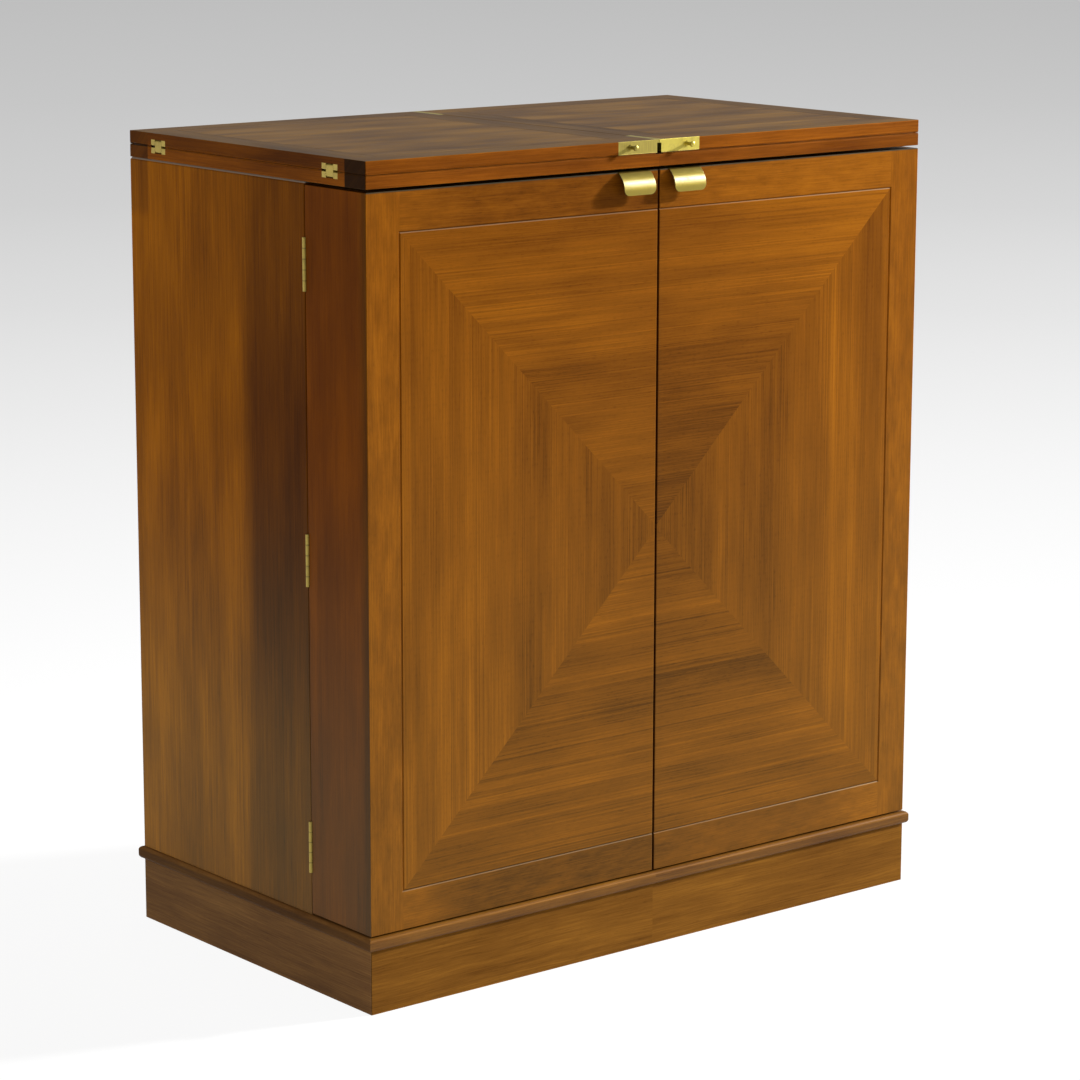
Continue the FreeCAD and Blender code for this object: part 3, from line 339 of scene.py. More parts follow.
# ---- Wood ----
class Wood:
    """A wood material under construction: place on the board, grain, colour and lacquer.

    Left and right boards share a material, so the place is measured outwards from the middle plane.
    """
    NO_END = -1.0  # inner end of a board that runs across the middle plane

    def __init__(self, name, node, along, seed):
        self.material, self.tree = new_material(name)
        self.settings = bpy.context.scene.cabinet_wood
        x, y, z = self.tree.split(self.tree.place())
        self.right = self.tree.math("GREATER_THAN", x, 0.0)
        self.place = {"x": self.tree.math("ABSOLUTE", x), "y": y, "z": z}
        self.low, self.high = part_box(node)
        if self.high.x <= 0:
            self.low.x, self.high.x = -self.high.x, -self.low.x
        elif self.low.x < 0:
            self.low.x = self.NO_END
        self.along = along
        self.seed = self.tree.math("ADD", self.tree.math("MULTIPLY", self.right, 5.1), seed)
        self.across = self.tree.math("ADD", *(self.place[axis] for axis in "xyz" if axis != along))

    def grain(self, pitch=None, wander=2 * MM, across=None, along=None, seed=None):
        """The grain group's outputs on this board."""
        return self.tree.group("wood grain", grain_group, {
            "Across": self.across if across is None else across,
            "Along": self.place[self.along] if along is None else along,
            "Seed": self.seed if seed is None else seed,
            "Pitch": self.settings.line_pitch if pitch is None else pitch,
            "Wander": wander})

    def tone(self, grain, lines=0.0, fibres=0.25, drift=0.2, comb=0.0, extra=0.5):
        """Tone around 0.5 from the grain and an extra pattern with the same middle."""
        math = self.tree.math
        total = extra
        for socket, strength in (("Lines", lines), ("Fibres", fibres), ("Drift", drift), ("Comb", comb)):
            if strength != 0:
                swing = math("MULTIPLY", math("SUBTRACT", grain[socket], 0.5), strength)
                total = math("ADD", total, swing)
        return math("SUBTRACT", total, math("MULTIPLY", grain["Pores"], 0.08))

    def colour(self, tone, colour):
        """Wood colour at a tone: darker and redder below 0.5, paler above it."""
        shades = ((0.0, DARK_SHARE), (0.5, (1.0, 1.0, 1.0)), (1.0, PALE_SHARE))
        stops = [(place, tuple(min(1.0, part * share) for part, share in zip(colour, shares)))
                 for place, shares in shades]
        return self.tree.ramp(tone, stops)

    def painted_floor_reflection(self, colour, cast=SIDE_PAINTED_FLOOR_REFLECTION, heights=SIDE_FADE):
        """Painted olive reflection of the pale floor towards the foot of the cabinet."""
        return self.tree.blend(self.tree.step(self.place["z"], *heights), colour, cast, "ADD")

    def inner_face(self, axis, at_high, colour):
        """Plain inside colour on the half of the board that faces into the cabinet or door."""
        middle = (self.low["xyz".index(axis)] + self.high["xyz".index(axis)]) / 2
        side = self.tree.math("GREATER_THAN" if at_high else "LESS_THAN", self.place[axis], middle)
        inside = self.colour(self.tone(self.grain(seed=9.0), lines=0.3), self.settings.inside_colour)
        return self.tree.blend(side, colour, inside)

    def end_grain(self, colour, strength):
        """Darken the ends that the grain runs out of; the strength may vary over the board."""
        place = self.place[self.along]
        low, high = (corner["xyz".index(self.along)] for corner in (self.low, self.high))
        past = self.tree.step(place, high - 0.8 * MM, high - 0.2 * MM)
        if low != self.NO_END:
            before = self.tree.step(place, low + 0.8 * MM, low + 0.2 * MM)
            past = self.tree.math("MAXIMUM", past, before)
        return self.tree.tint(self.tree.math("MULTIPLY", past, strength), colour, END_GRAIN_SHARE)

    def flat_faces(self, colour, other):
        """Another colour on the board's upper and lower faces."""
        top = self.tree.step(self.place["z"], self.high.z - 0.6 * MM, self.high.z - 0.1 * MM)
        under = self.tree.math("LESS_THAN", self.tree.facing()[2], -0.7)
        return self.tree.blend(self.tree.math("MAXIMUM", top, under), colour, other)

    def thinned_and_glinting(self, colour, strength=0.5):
        """Lacquer thinned along the board's outer edges, paler there also as a painted glint."""
        mask = self.tree.group("arris wear", arris_group, {
            "Position": self.tree.join(*self.place.values()), "Low": self.low, "High": self.high,
            "Width": 1.6 * MM})["Mask"]
        return self.tree.tint(self.tree.math("MULTIPLY", mask, strength), colour, THIN_LACQUER_AND_GLINT_SHARE)

    def finish(self, colour, grain, coat=0.0):
        """Satin lacquer over the colour, and perhaps a polished coat; returns the material."""
        tree = self.tree
        satin, reflection = self.settings.lacquer_roughness, self.settings.lacquer_reflection
        height = tree.math("SUBTRACT", grain["Fibres"], tree.math("MULTIPLY", grain["Pores"], 2.0))
        bump = tree.node("Bump", {"Height": height, "Strength": 0.25, "Distance": 0.05 * MM})
        roughness = tree.step(grain["Fibres"], 0.3, 0.7, satin - 0.04, satin + 0.05)
        tree.show(tree.node("BsdfPrincipled", {
            "Base Color": colour, "Roughness": roughness, "Specular IOR Level": reflection,
            "Coat Weight": coat, "Coat Roughness": 0.25, "Normal": bump.outputs[0]}))
        return self.material


def dress(material, *nodes):
    """Give one material to whole nodes of the cabinet."""
    for name in nodes:
        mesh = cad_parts[name].data
        mesh.materials.clear()
        mesh.materials.append(material)


def pair(name):
    """The left and right node of a mirrored part."""
    return "left_" + name, "right_" + name


class DoorFront(Wood):
    """Material of the door fronts: four mitred fields of striped veneer inside a grooved border."""

    def __init__(self):
        super().__init__("door marquetry", "left_door_panel", "z", 1.0)
        math, mix = self.tree.math, self.tree.mix
        x, z = self.place["x"], self.place["z"]
        self.half_x = HALF_WIDTH - GROOVE_BORDER
        self.half_z = (DOOR_HIGH - DOOR_LOW) / 2 - GROOVE_BORDER
        middle_z = (DOOR_LOW + DOOR_HIGH) / 2
        self.above = math("SUBTRACT", z, middle_z)
        self.lower = math("LESS_THAN", z, middle_z)
        self.outwards = math("DIVIDE", x, self.half_x)
        self.inwards_x = math("SUBTRACT", self.half_x, x)
        inwards_z = math("SUBTRACT", self.half_z, math("ABSOLUTE", self.above))
        # 1 in the fields inside the groove, and 1 where the grain stands upright beside the centre.
        self.field = math("LESS_THAN", 0.0, math("MINIMUM", self.inwards_x, inwards_z))
        self.upright = math("LESS_THAN", self.inwards_x, math("MAXIMUM", inwards_z, 0.0))
        # Distance from the groove across the leaf's grain, and the run along it, with a sign of its
        # own in each leaf so that no two leaves repeat each other.
        self.inwards = mix(self.upright, inwards_z, self.inwards_x)
        side_sign = math("SUBTRACT", math("MULTIPLY", self.right, 2.0), 1.0)
        height_sign = math("SUBTRACT", math("MULTIPLY", self.lower, 2.0), 1.0)
        round_x = math("MULTIPLY", math("MULTIPLY", x, side_sign), height_sign)
        round_z = math("MULTIPLY", math("SUBTRACT", middle_z, z), side_sign)
        self.run = mix(self.upright, round_x, round_z)
        self.leaf_seed = mix(self.upright, math("MULTIPLY", self.lower, 7.7), 3.3)
        # Painted light: the right door's upper and lower leaves pale outwards.
        right_end = math("SUBTRACT", self.right, math("MULTIPLY", self.upright, self.right))
        rise = math("MULTIPLY", right_end, mix(self.lower, UPPER_SLOPE, LOWER_SLOPE))
        self.slope = math("MULTIPLY", rise, math("SUBTRACT", self.outwards, 0.5))

    def make(self):
        """The finished material."""
        tree = self.tree
        grain, veneer = self.veneer()
        colour = tree.blend(self.field, self.border(), veneer)
        # painted reflection of the floor towards the foot of the doors
        colour = self.thinned_and_glinting(self.painted_floor_reflection(colour, DOOR_PAINTED_FLOOR_REFLECTION, DOOR_FADE))
        colour = self.inner_face("y", True, self.edges(self.grooves(colour)))
        return self.finish(colour, grain)

    def by_leaf(self, beside, above, below):
        """Value of the leaf that a point lies in, from pairs for the left and the right door."""
        mix = self.tree.mix
        ends = mix(self.lower, mix(self.right, *above), mix(self.right, *below))
        return mix(self.upright, ends, mix(self.right, *beside))

    def veneer(self):
        """Soft grain of the fields and their striped colour."""
        math, mix = self.tree.math, self.tree.mix
        right_slip = math("MULTIPLY", math("MULTIPLY", self.upright, self.right), RIGHT_SLIP)
        level = math("SUBTRACT", 1.0, self.upright)
        lower_slip = math("MULTIPLY", math("MULTIPLY", level, self.lower), LOWER_SLIP)
        slipped = math("ADD", self.inwards, math("ADD", right_slip, lower_slip))
        leaf = mix(math("DIVIDE", self.inwards, self.half_x),
                   self.by_leaf(*LEAVES_AT_GROOVE), self.by_leaf(*LEAVES_AT_CENTRE))
        leaf = math("ADD", leaf, self.slope)
        fine = self.grain(across=slipped, along=self.run, seed=math("ADD", self.leaf_seed, 2.0),
                          wander=mix(self.upright, 2.6 * MM, 1.0 * MM))
        soft = self.grain(across=slipped, along=self.run, seed=math("ADD", self.leaf_seed, self.seed))
        tone = math("ADD", self.tree.profile(slipped, DOOR_TONES), leaf)
        tone = self.tone(fine, lines=0.25, fibres=0.0, drift=0.0, comb=0.62, extra=tone)
        tone = self.tone(soft, fibres=0.40, drift=0.62, extra=tone)
        return soft, self.colour(tone, self.settings.door_colour)

    def border(self):
        """Figured and flecked colour of the border's four pieces."""
        tree, math, mix = self.tree, self.tree.math, self.tree.mix
        seed = math("ADD", self.seed, self.leaf_seed)
        grain = self.grain(pitch=11 * MM, wander=9 * MM, across=self.inwards, along=self.run, seed=seed)
        beside, above, below = (mix(self.right, *pieces) for pieces in LEAVES_IN_BORDER)
        ends = mix(tree.step(self.inwards_x, 0.0, 120 * MM), beside, mix(self.lower, above, below))
        rise = math("MULTIPLY", math("DIVIDE", self.above, self.half_z), 0.05)
        piece = mix(self.upright, math("ADD", ends, self.slope), math("ADD", beside, rise))
        figure = tree.noise(tree.join(math("DIVIDE", self.inwards, 13 * MM),
                                      math("DIVIDE", self.run, 38 * MM), seed), 3.0, 0.6)
        flecks = tree.noise(tree.join(math("DIVIDE", self.inwards, 4 * MM),
                                      math("DIVIDE", self.run, 16 * MM), self.leaf_seed), 2.0)
        flecks = math("MULTIPLY", tree.step(flecks, 0.64, 0.76), 0.10)
        figure = math("SUBTRACT", math("MULTIPLY", figure, 0.55), flecks)
        tone = self.tone(grain, lines=0.20, fibres=0.60, drift=0.3, comb=0.15,
                         extra=math("ADD", math("ADD", piece, figure), 0.225))
        return self.colour(tone, self.settings.border_colour)

    def grooves(self, colour):
        """Painted shade in the level grooves, painted light that pales the upright ones, a painted
        highlight on their upward slopes and painted shade where the fronts face sideways.
        """
        tree, math = self.tree, self.tree.math
        y = self.place["y"]
        depth = tree.step(y, FRONT + 0.3 * MM, FRONT + 1.5 * MM)
        # painted shade in the level grooves
        groove_shade = math("MULTIPLY", depth, tree.mix(self.upright, 0.38, 0.0))
        colour = tree.blend(groove_shade, colour, GROOVE_PAINTED_SHADE)
        # painted light that pales the upright grooves
        colour = tree.tint(math("MULTIPLY", depth, self.upright), colour, UPRIGHT_GROOVE_PAINTED_LIGHT)
        sideways, _, upwards = tree.facing()
        # painted shade on the faces that look sideways
        colour = tree.tint(math("GREATER_THAN", math("ABSOLUTE", sideways), 0.8), colour, DOOR_EDGE_PAINTED_SHADE)
        # painted highlight on the grooves' upward slopes, stronger towards the right
        slope = math("MULTIPLY", math("GREATER_THAN", upwards, 0.3),
                     tree.step(y, FRONT + 0.1 * MM, FRONT + 0.4 * MM))
        shine = tree.mix(self.right, 0.26, tree.mix(self.outwards, 0.17, 0.46))
        return tree.blend(math("MULTIPLY", slope, shine), colour, GROOVE_PAINTED_HIGHLIGHT)

    def edges(self, colour):
        """Painted dim, cool reflection along the door's top edge."""
        arris = self.tree.step(self.place["z"], DOOR_HIGH - 1.8 * MM, DOOR_HIGH - 0.5 * MM)
        return self.tree.blend(self.tree.math("MULTIPLY", arris, 0.85), colour, DOOR_TOP_PAINTED_REFLECTION)


def side_veneer():
    """Carcass sides: upright striped veneer, smoky towards the doors, with a painted highlight on the bevel
    at the top.
    """
    wood = Wood("side veneer", "carcass_left_side", "z", 4.0)
    tree, math = wood.tree, wood.tree.math
    z = wood.place["z"]
    forward = math("SUBTRACT", wood.high.y, wood.place["y"])
    grain = wood.grain(pitch=5 * MM, wander=3 * MM)
    tone = wood.tone(grain, lines=0.50, fibres=0.60, drift=tree.mix(wood.right, 0.80, 0.50), comb=0.32,
                     extra=tree.profile(forward, SIDE_TONES))
    colour = wood.colour(tone, wood.settings.side_colour)
    middle = math("MULTIPLY", tree.step(z, *SMOKE_TOP), tree.step(z, *SMOKE_FOOT))
    smoke = math("MULTIPLY", tree.step(forward, *SMOKE_START), tree.step(middle, 0.0, 1.0, 0.52, 0.82))
    corner = math("MULTIPLY", tree.step(forward, *CORNER_BACK), tree.step(z, *CORNER_TOP))
    smoke = math("MAXIMUM", smoke, math("MULTIPLY", corner, 0.35))
    smoke = math("MULTIPLY", smoke, tree.mix(wood.right, 1.0, 0.35))
    # Painted olive reflection of the floor at the left side's foot.
    foot = math("MULTIPLY", tree.step(z, *SIDE_FOOT), math("SUBTRACT", 1.0, wood.right))
    smoked = tree.tint(1.0, colour, SMOKE_SHARE)
    colour = tree.blend(smoke, tree.tint(foot, colour, SIDE_FOOT_PAINTED_REFLECTION), smoked)
    colour = wood.thinned_and_glinting(wood.painted_floor_reflection(colour))
    # painted highlight on the bevel along the top
    colour = tree.blend(math("GREATER_THAN", z, wood.high.z - BEVEL), colour, SIDE_BEVEL_PAINTED_HIGHLIGHT)
    return wood.finish(wood.inner_face("x", False, colour), grain)


def plain_board(name, node, along, colour, seed, lines=0.28, drift=0.3, pitch=9 * MM, wander=6 * MM,
                ends=0.5, wear=0.5, flat=None, halves=(0.0, 0.0), painted_side_shade=1.0, fine=1.0):
    """Board in one piece of wood with its ends and edges, and perhaps another colour on its flat faces.

    The ends may darken by one strength at the front and another at the rear. The halves shift the tone
    of the left and right mirror images, and painted side shade darkens the faces that look to the left or
    right.
    """
    wood = Wood(name, node, along, seed)
    tree, math = wood.tree, wood.tree.math
    grain = wood.grain(pitch=pitch, wander=wander)
    tone = wood.tone(grain, lines=lines, fibres=0.85 * fine, drift=drift, comb=0.35 * fine,
                     extra=tree.mix(wood.right, halves[0] + 0.5, halves[1] + 0.5))
    shade = wood.colour(tone, colour)
    # painted shade on the faces that look to the left or right
    if painted_side_shade != 1.0:
        sideways = tree.step(math("ABSOLUTE", tree.facing()[0]), 0.6, 0.9)
        shade = tree.tint(sideways, shade, (painted_side_shade, painted_side_shade, painted_side_shade, 1))
    if isinstance(ends, tuple):
        ends = tree.mix(math("GREATER_THAN", wood.place["y"], 0.0), *ends)
    if along == "z":
        # painted reflection of the floor towards the foot of upright boards
        shade = wood.painted_floor_reflection(shade)
    if flat is not None:
        shade = wood.flat_faces(shade, wood.colour(tone, flat))
    shade = wood.thinned_and_glinting(wood.end_grain(shade, ends), wear)
    return wood, shade, grain


# ---- Metal and plastic ----
def metal(name, colour, dull_colour, roughness, brushing=(900, 900, 60), metallic=1.0, left_tarnish_and_shade=0.0,
          painted_light=None, hinges=()):
    """Satin metal with fine brushing and tarnish; its left half may dull more, as tarnish and painted dim
    reflection.

    Painted light gives the colours of a part by how far its surface faces up: a painted highlight and
    painted shade. Hinges are the heights of the lower ends of hinges whose knuckles meet in dark lines.
    """
    material, tree = new_material(name)
    math = tree.math
    place = tree.place()
    marks = tree.group("brushed metal", metal_group, {"Position": place, "Brushing": brushing})
    # the left half dulled more: partly tarnish, partly a painted dimmer reflection
    left = math("MULTIPLY", math("LESS_THAN", tree.split(place)[0], 0.0), left_tarnish_and_shade)
    dulled = math("MAXIMUM", math("MULTIPLY", marks["Tarnish"], 0.6),
                  math("MULTIPLY", left, math("ADD", marks["Scratches"], 0.45)))
    # painted light by how far the surface faces up, where it is given
    clean = (*colour, 1) if painted_light is None else tree.ramp(tree.facing()[2], painted_light)
    shade = tree.blend(dulled, clean, (*dull_colour, 1))
    for foot in hinges:
        shade = knuckle_lines(tree, place, foot, shade)
    dull = math("ADD", math("MULTIPLY", marks["Scratches"], 0.12),
                math("MULTIPLY", marks["Tarnish"], 0.06))
    bump = tree.node("Bump", {"Height": marks["Scratches"], "Strength": 0.12, "Distance": 0.05 * MM})
    tree.show(tree.node("BsdfPrincipled", {
        "Base Color": shade, "Metallic": metallic, "Roughness": math("ADD", dull, roughness - 0.06),
        "Normal": bump.outputs[0]}))
    return material


def knuckle_lines(tree, place, foot, shade):
    """Dark lines where the knuckles of a door hinge meet; foot is the height of its lower end."""
    math = tree.math
    x, _, z = tree.split(place)
    knuckle = math("DIVIDE", math("SUBTRACT", z, foot), HINGE_LENGTH / HINGE_KNUCKLES)
    inside = math("COMPARE", knuckle, HINGE_KNUCKLES / 2, HINGE_KNUCKLES / 2 - 0.1)
    joint = math("LESS_THAN", math("PINGPONG", knuckle, 0.5), 0.045)
    barrel = math("GREATER_THAN", math("ABSOLUTE", x), HALF_WIDTH - 2 * MM)
    line = math("MULTIPLY", math("MULTIPLY", inside, joint), math("MULTIPLY", barrel, 0.5))
    return tree.blend(line, shade, KNUCKLE_LINE)


def plastic(name, colour):
    """Moulded plastic with a fine spark-eroded grain."""
    material, tree = new_material(name)
    grit = tree.noise(tree.stretch(tree.place(), (2500, 2500, 2500)), 3.0)
    shade = tree.blend(grit, tuple(0.8 * part for part in colour) + (1,), (*colour, 1))
    bump = tree.node("Bump", {"Height": grit, "Strength": 0.3, "Distance": 0.04 * MM})
    roughness = tree.step(grit, 0.2, 0.8, 0.42, 0.55)
    tree.show(tree.node("BsdfPrincipled", {
        "Base Color": shade, "Roughness": roughness, "Normal": bump.outputs[0]}))
    return material


# ---- Small fittings ----
def screw_head(mesh, centre, normal, radius, proud, slot, turn):
    """Add a slotted countersunk head that stands a little proud of the face at its centre."""
    sunk_depth = 0.2 * MM
    made = bmesh.ops.create_cone(mesh, cap_ends=True, segments=24, radius1=radius, radius2=radius * 0.9,
                                 depth=proud + sunk_depth)
    parts = made["verts"]
    faces = {face for vert in parts for face in vert.link_faces}
    for side in (-1, 1):
        geometry = list(faces) + list({edge for face in faces for edge in face.edges}) + parts
        cut = bmesh.ops.bisect_plane(mesh, geom=geometry, plane_co=(0, side * slot / 2, 0),
                                     plane_no=(0, 1, 0))
        faces = {item for item in cut["geom"] if isinstance(item, bmesh.types.BMFace)}
        faces |= {face for item in cut["geom_cut"] for face in item.link_faces}
        parts = list({vert for face in faces for vert in face.verts})
    groove = [face for face in faces
              if face.normal.z > 0.9 and abs(face.calc_center_median().y) < slot / 2]
    sunk = bmesh.ops.extrude_face_region(mesh, geom=groove)["geom"]
    bottom = [item for item in sunk if isinstance(item, bmesh.types.BMVert)]
    bmesh.ops.translate(mesh, vec=(0, 0, -0.7 * proud), verts=bottom)
    bmesh.ops.delete(mesh, geom=groove, context="FACES_ONLY")
    for item in sunk:
        if isinstance(item, bmesh.types.BMFace):
            item.material_index = 1
    parts = list({vert for vert in parts if vert.is_valid} | set(bottom))
    place = Matrix.Translation(centre) @ Vector((0, 0, 1)).rotation_difference(normal).to_matrix().to_4x4()
    place = place @ Matrix.Rotation(turn, 4, "Z") @ Matrix.Translation((0, 0, (proud - sunk_depth) / 2))
    bmesh.ops.transform(mesh, matrix=place, verts=parts)


def screws(name, body, material, places, radius, proud):
    """Add one piece that holds a group of like screw heads; places are (centre, normal) pairs."""
    settings = bpy.context.scene.cabinet_fittings
    mesh = bmesh.new()
    for number, (centre, normal) in enumerate(places):
        turn = math.radians(settings.screw_turn * (number + 1) ** 2 % 180)
        screw_head(mesh, Vector(centre), Vector(normal), radius, proud, settings.screw_slot, turn)
    bmesh.ops.recalc_face_normals(mesh, faces=mesh.faces)
    add_piece(name, body, mesh, [material, bpy.data.materials["slot shade"]])


def add_piece(name, body, mesh, materials):
    """Finished object from a bmesh, riding on a body."""
    data = bpy.data.meshes.new(name)
    mesh.to_mesh(data)
    mesh.free()
    for material in materials:
        data.materials.append(material)
    piece = bpy.data.objects.new(name, data)
    bpy.context.scene.collection.objects.link(piece)
    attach(piece, body)
    return piece


def mirrored(places):
    """Places on the left with their mirror images on the right."""
    return places + [((-x, y, z), (-i, j, k)) for (x, y, z), (i, j, k) in places]


def paired_screws(name, body, material, places, radius, proud):
    """The same group of screws on a left body and mirrored on the right one."""
    for side, ends in (("left", places), ("right", mirrored(places)[len(places):])):
        screws(f"{side}_{name}", f"{side}_{body}", material, ends, radius, proud)


def add_block(mesh, centre, size):
    """Add a box to a mesh; returns its corners."""
    corners = bmesh.ops.create_cube(mesh, size=1.0)["verts"]
    shape = Matrix.Translation(centre) @ Matrix.Diagonal((*size, 1))
    bmesh.ops.transform(mesh, matrix=shape, verts=corners)
    return corners


def ease(mesh, edges, width):
    """Round edges off with a small bevel."""
    return bmesh.ops.bevel(mesh, geom=edges, offset=width, affect="EDGES", segments=2, profile=0.5,
                           material=-1)


# ---- Settings ----
class CabinetWoodSettings(bpy.types.PropertyGroup):
    """Colours and lacquer of the cabinet's woods."""

    door_colour: FloatVectorProperty(
        name="Door veneer", description="Middle tone of the striped door veneer", subtype="COLOR",
        default=(0.235, 0.072, 0.0030), min=0.0, max=1.0)
    border_colour: FloatVectorProperty(
        name="Door border", description="Middle tone of the border round the door fields", subtype="COLOR",
        default=(0.238, 0.073, 0.0035), min=0.0, max=1.0)
    side_colour: FloatVectorProperty(
        name="Side veneer", description="Middle tone of the carcass sides", subtype="COLOR",
        default=(0.282, 0.086, 0.0022), min=0.0, max=1.0)
    return_colour: FloatVectorProperty(
        name="Door return", description="Middle tone of the doors' outer sides", subtype="COLOR",
        default=(0.165, 0.041, 0.0010), min=0.0, max=1.0)
    top_colour: FloatVectorProperty(
        name="Top veneer", description="Middle tone of the leaf and serving top panels", subtype="COLOR",
        default=(0.125, 0.058, 0.0090), min=0.0, max=1.0)
    frame_colour: FloatVectorProperty(
        name="Top frame", description="Middle tone of the rails and stiles round the tops", subtype="COLOR",
        default=(0.215, 0.058, 0.0030), min=0.0, max=1.0)
    plinth_colour: FloatVectorProperty(
        name="Plinth", description="Middle tone of the plinth and its moulding", subtype="COLOR",
        default=(0.198, 0.080, 0.0110), min=0.0, max=1.0)
    inside_colour: FloatVectorProperty(
        name="Inside", description="Middle tone of shelves and inner faces", subtype="COLOR",
        default=(0.300, 0.140, 0.0300), min=0.0, max=1.0)
    line_pitch: FloatProperty(
        name="Line pitch", description="Distance between the fine lines of the door veneer", unit="LENGTH",
        default=2.4 * MM, min=0.5 * MM, max=50 * MM)
    lacquer_roughness: FloatProperty(
        name="Lacquer roughness", description="Satin of the lacquer", default=0.38, min=0.05, max=1.0)
    lacquer_reflection: FloatProperty(
        name="Lacquer reflection", description="Strength of the lacquer's reflection", default=0.025,
        min=0.0, max=1.0)


class CabinetFittingSettings(bpy.types.PropertyGroup):
    """Colours of the metals and sizes of the screws."""

    brass_colour: FloatVectorProperty(
        name="Brass", description="Clean satin brass of the corner plates and knobs", subtype="COLOR",
        default=(0.62, 0.51, 0.095), min=0.0, max=1.0)
    pull_colour: FloatVectorProperty(
        name="Pulls", description="Brass of the door pulls", subtype="COLOR", default=(0.60, 0.46, 0.090),
        min=0.0, max=1.0)
    hinge_colour: FloatVectorProperty(
        name="Hinges", description="Dull brass of the hinges", subtype="COLOR",
        default=(0.51, 0.38, 0.080), min=0.0, max=1.0)
    tarnish_colour: FloatVectorProperty(
        name="Tarnish", description="Brass where it has dulled", subtype="COLOR",
        default=(0.30, 0.23, 0.06), min=0.0, max=1.0)
    steel_colour: FloatVectorProperty(
        name="Steel", description="Plated steel of pins and strike plates", subtype="COLOR",
        default=(0.56, 0.55, 0.52), min=0.0, max=1.0)
    plastic_colour: FloatVectorProperty(
        name="Catch", description="Plastic of the magnetic catch", subtype="COLOR",
        default=(0.05, 0.032, 0.02), min=0.0, max=1.0)
    brass_roughness: FloatProperty(
        name="Brass roughness", description="Satin of the brass", default=0.42, min=0.05, max=1.0)
    pull_thickness: FloatProperty(
        name="Pull thickness", description="Thickness of the pulls' strip", unit="LENGTH", default=2 * MM,
        min=0.5 * MM, max=5 * MM)
    pull_shoulder: FloatProperty(
        name="Pull shoulder", description="Radius of the bend beside the pull's flange", unit="LENGTH",
        default=4 * MM, min=3 * MM, max=12 * MM)
    pull_tilt: FloatProperty(
        name="Pull tilt", description="Angle at which the shoulder passes into the slope", subtype="ANGLE",
        default=math.radians(42), min=math.radians(10), max=math.radians(50))
    pull_slope: FloatProperty(
        name="Pull slope", description="Radius of the slope between the pull's shoulder and lip",
        unit="LENGTH", default=42 * MM, min=5 * MM, max=50 * MM)
    pull_turn: FloatProperty(
        name="Pull turn", description="Angle at which the slope passes into the lip", subtype="ANGLE",
        default=math.radians(54), min=math.radians(50), max=math.radians(70))
    pull_corner: FloatProperty(
        name="Pull corner", description="Radius of the pull's lower corners", unit="LENGTH", default=8 * MM,
        min=1 * MM, max=20 * MM)
    pull_ease: FloatProperty(
        name="Pull ease", description="Rounding of the pull's edges", unit="LENGTH", default=0.35 * MM,
        min=0.05 * MM, max=0.9 * MM)
    lipping_height: FloatProperty(
        name="Lipping height", description="How far the lippings of leaves and serving top stand proud",
        unit="LENGTH", default=0.85 * MM, min=0.1 * MM, max=0.85 * MM)
    lipping_depth: FloatProperty(
        name="Lipping depth", description="Depth of the lippings from the edge", unit="LENGTH",
        default=1.0 * MM, min=0.5 * MM, max=1.0 * MM)
    plate_notch: FloatProperty(
        name="Plate notch", unit="LENGTH", default=2.9 * MM, min=0.0, max=5 * MM,
        description="How far the corner plates stand back from the seam below their lip")
    screw_radius: FloatProperty(
        name="Screw radius", description="Head radius of the larger screws", unit="LENGTH",
        default=2.9 * MM, min=1 * MM, max=6 * MM)
    small_screw_radius: FloatProperty(
        name="Small screw radius", description="Head radius of the screws in the leaf hinges and strikes",
        unit="LENGTH", default=1.8 * MM, min=1 * MM, max=4 * MM)
    screw_slot: FloatProperty(
        name="Screw slot", description="Width of the driver slot", unit="LENGTH", default=0.7 * MM,
        min=0.2 * MM, max=2 * MM)
    screw_turn: FloatProperty(
        name="Screw turn", description="Degrees by which neighbouring slots differ", default=37.0,
        min=0.0, max=180.0)
    back_screws: IntProperty(
        name="Back screws", description="Screws along each upright edge of the back panel", default=5,
        min=2, max=12)


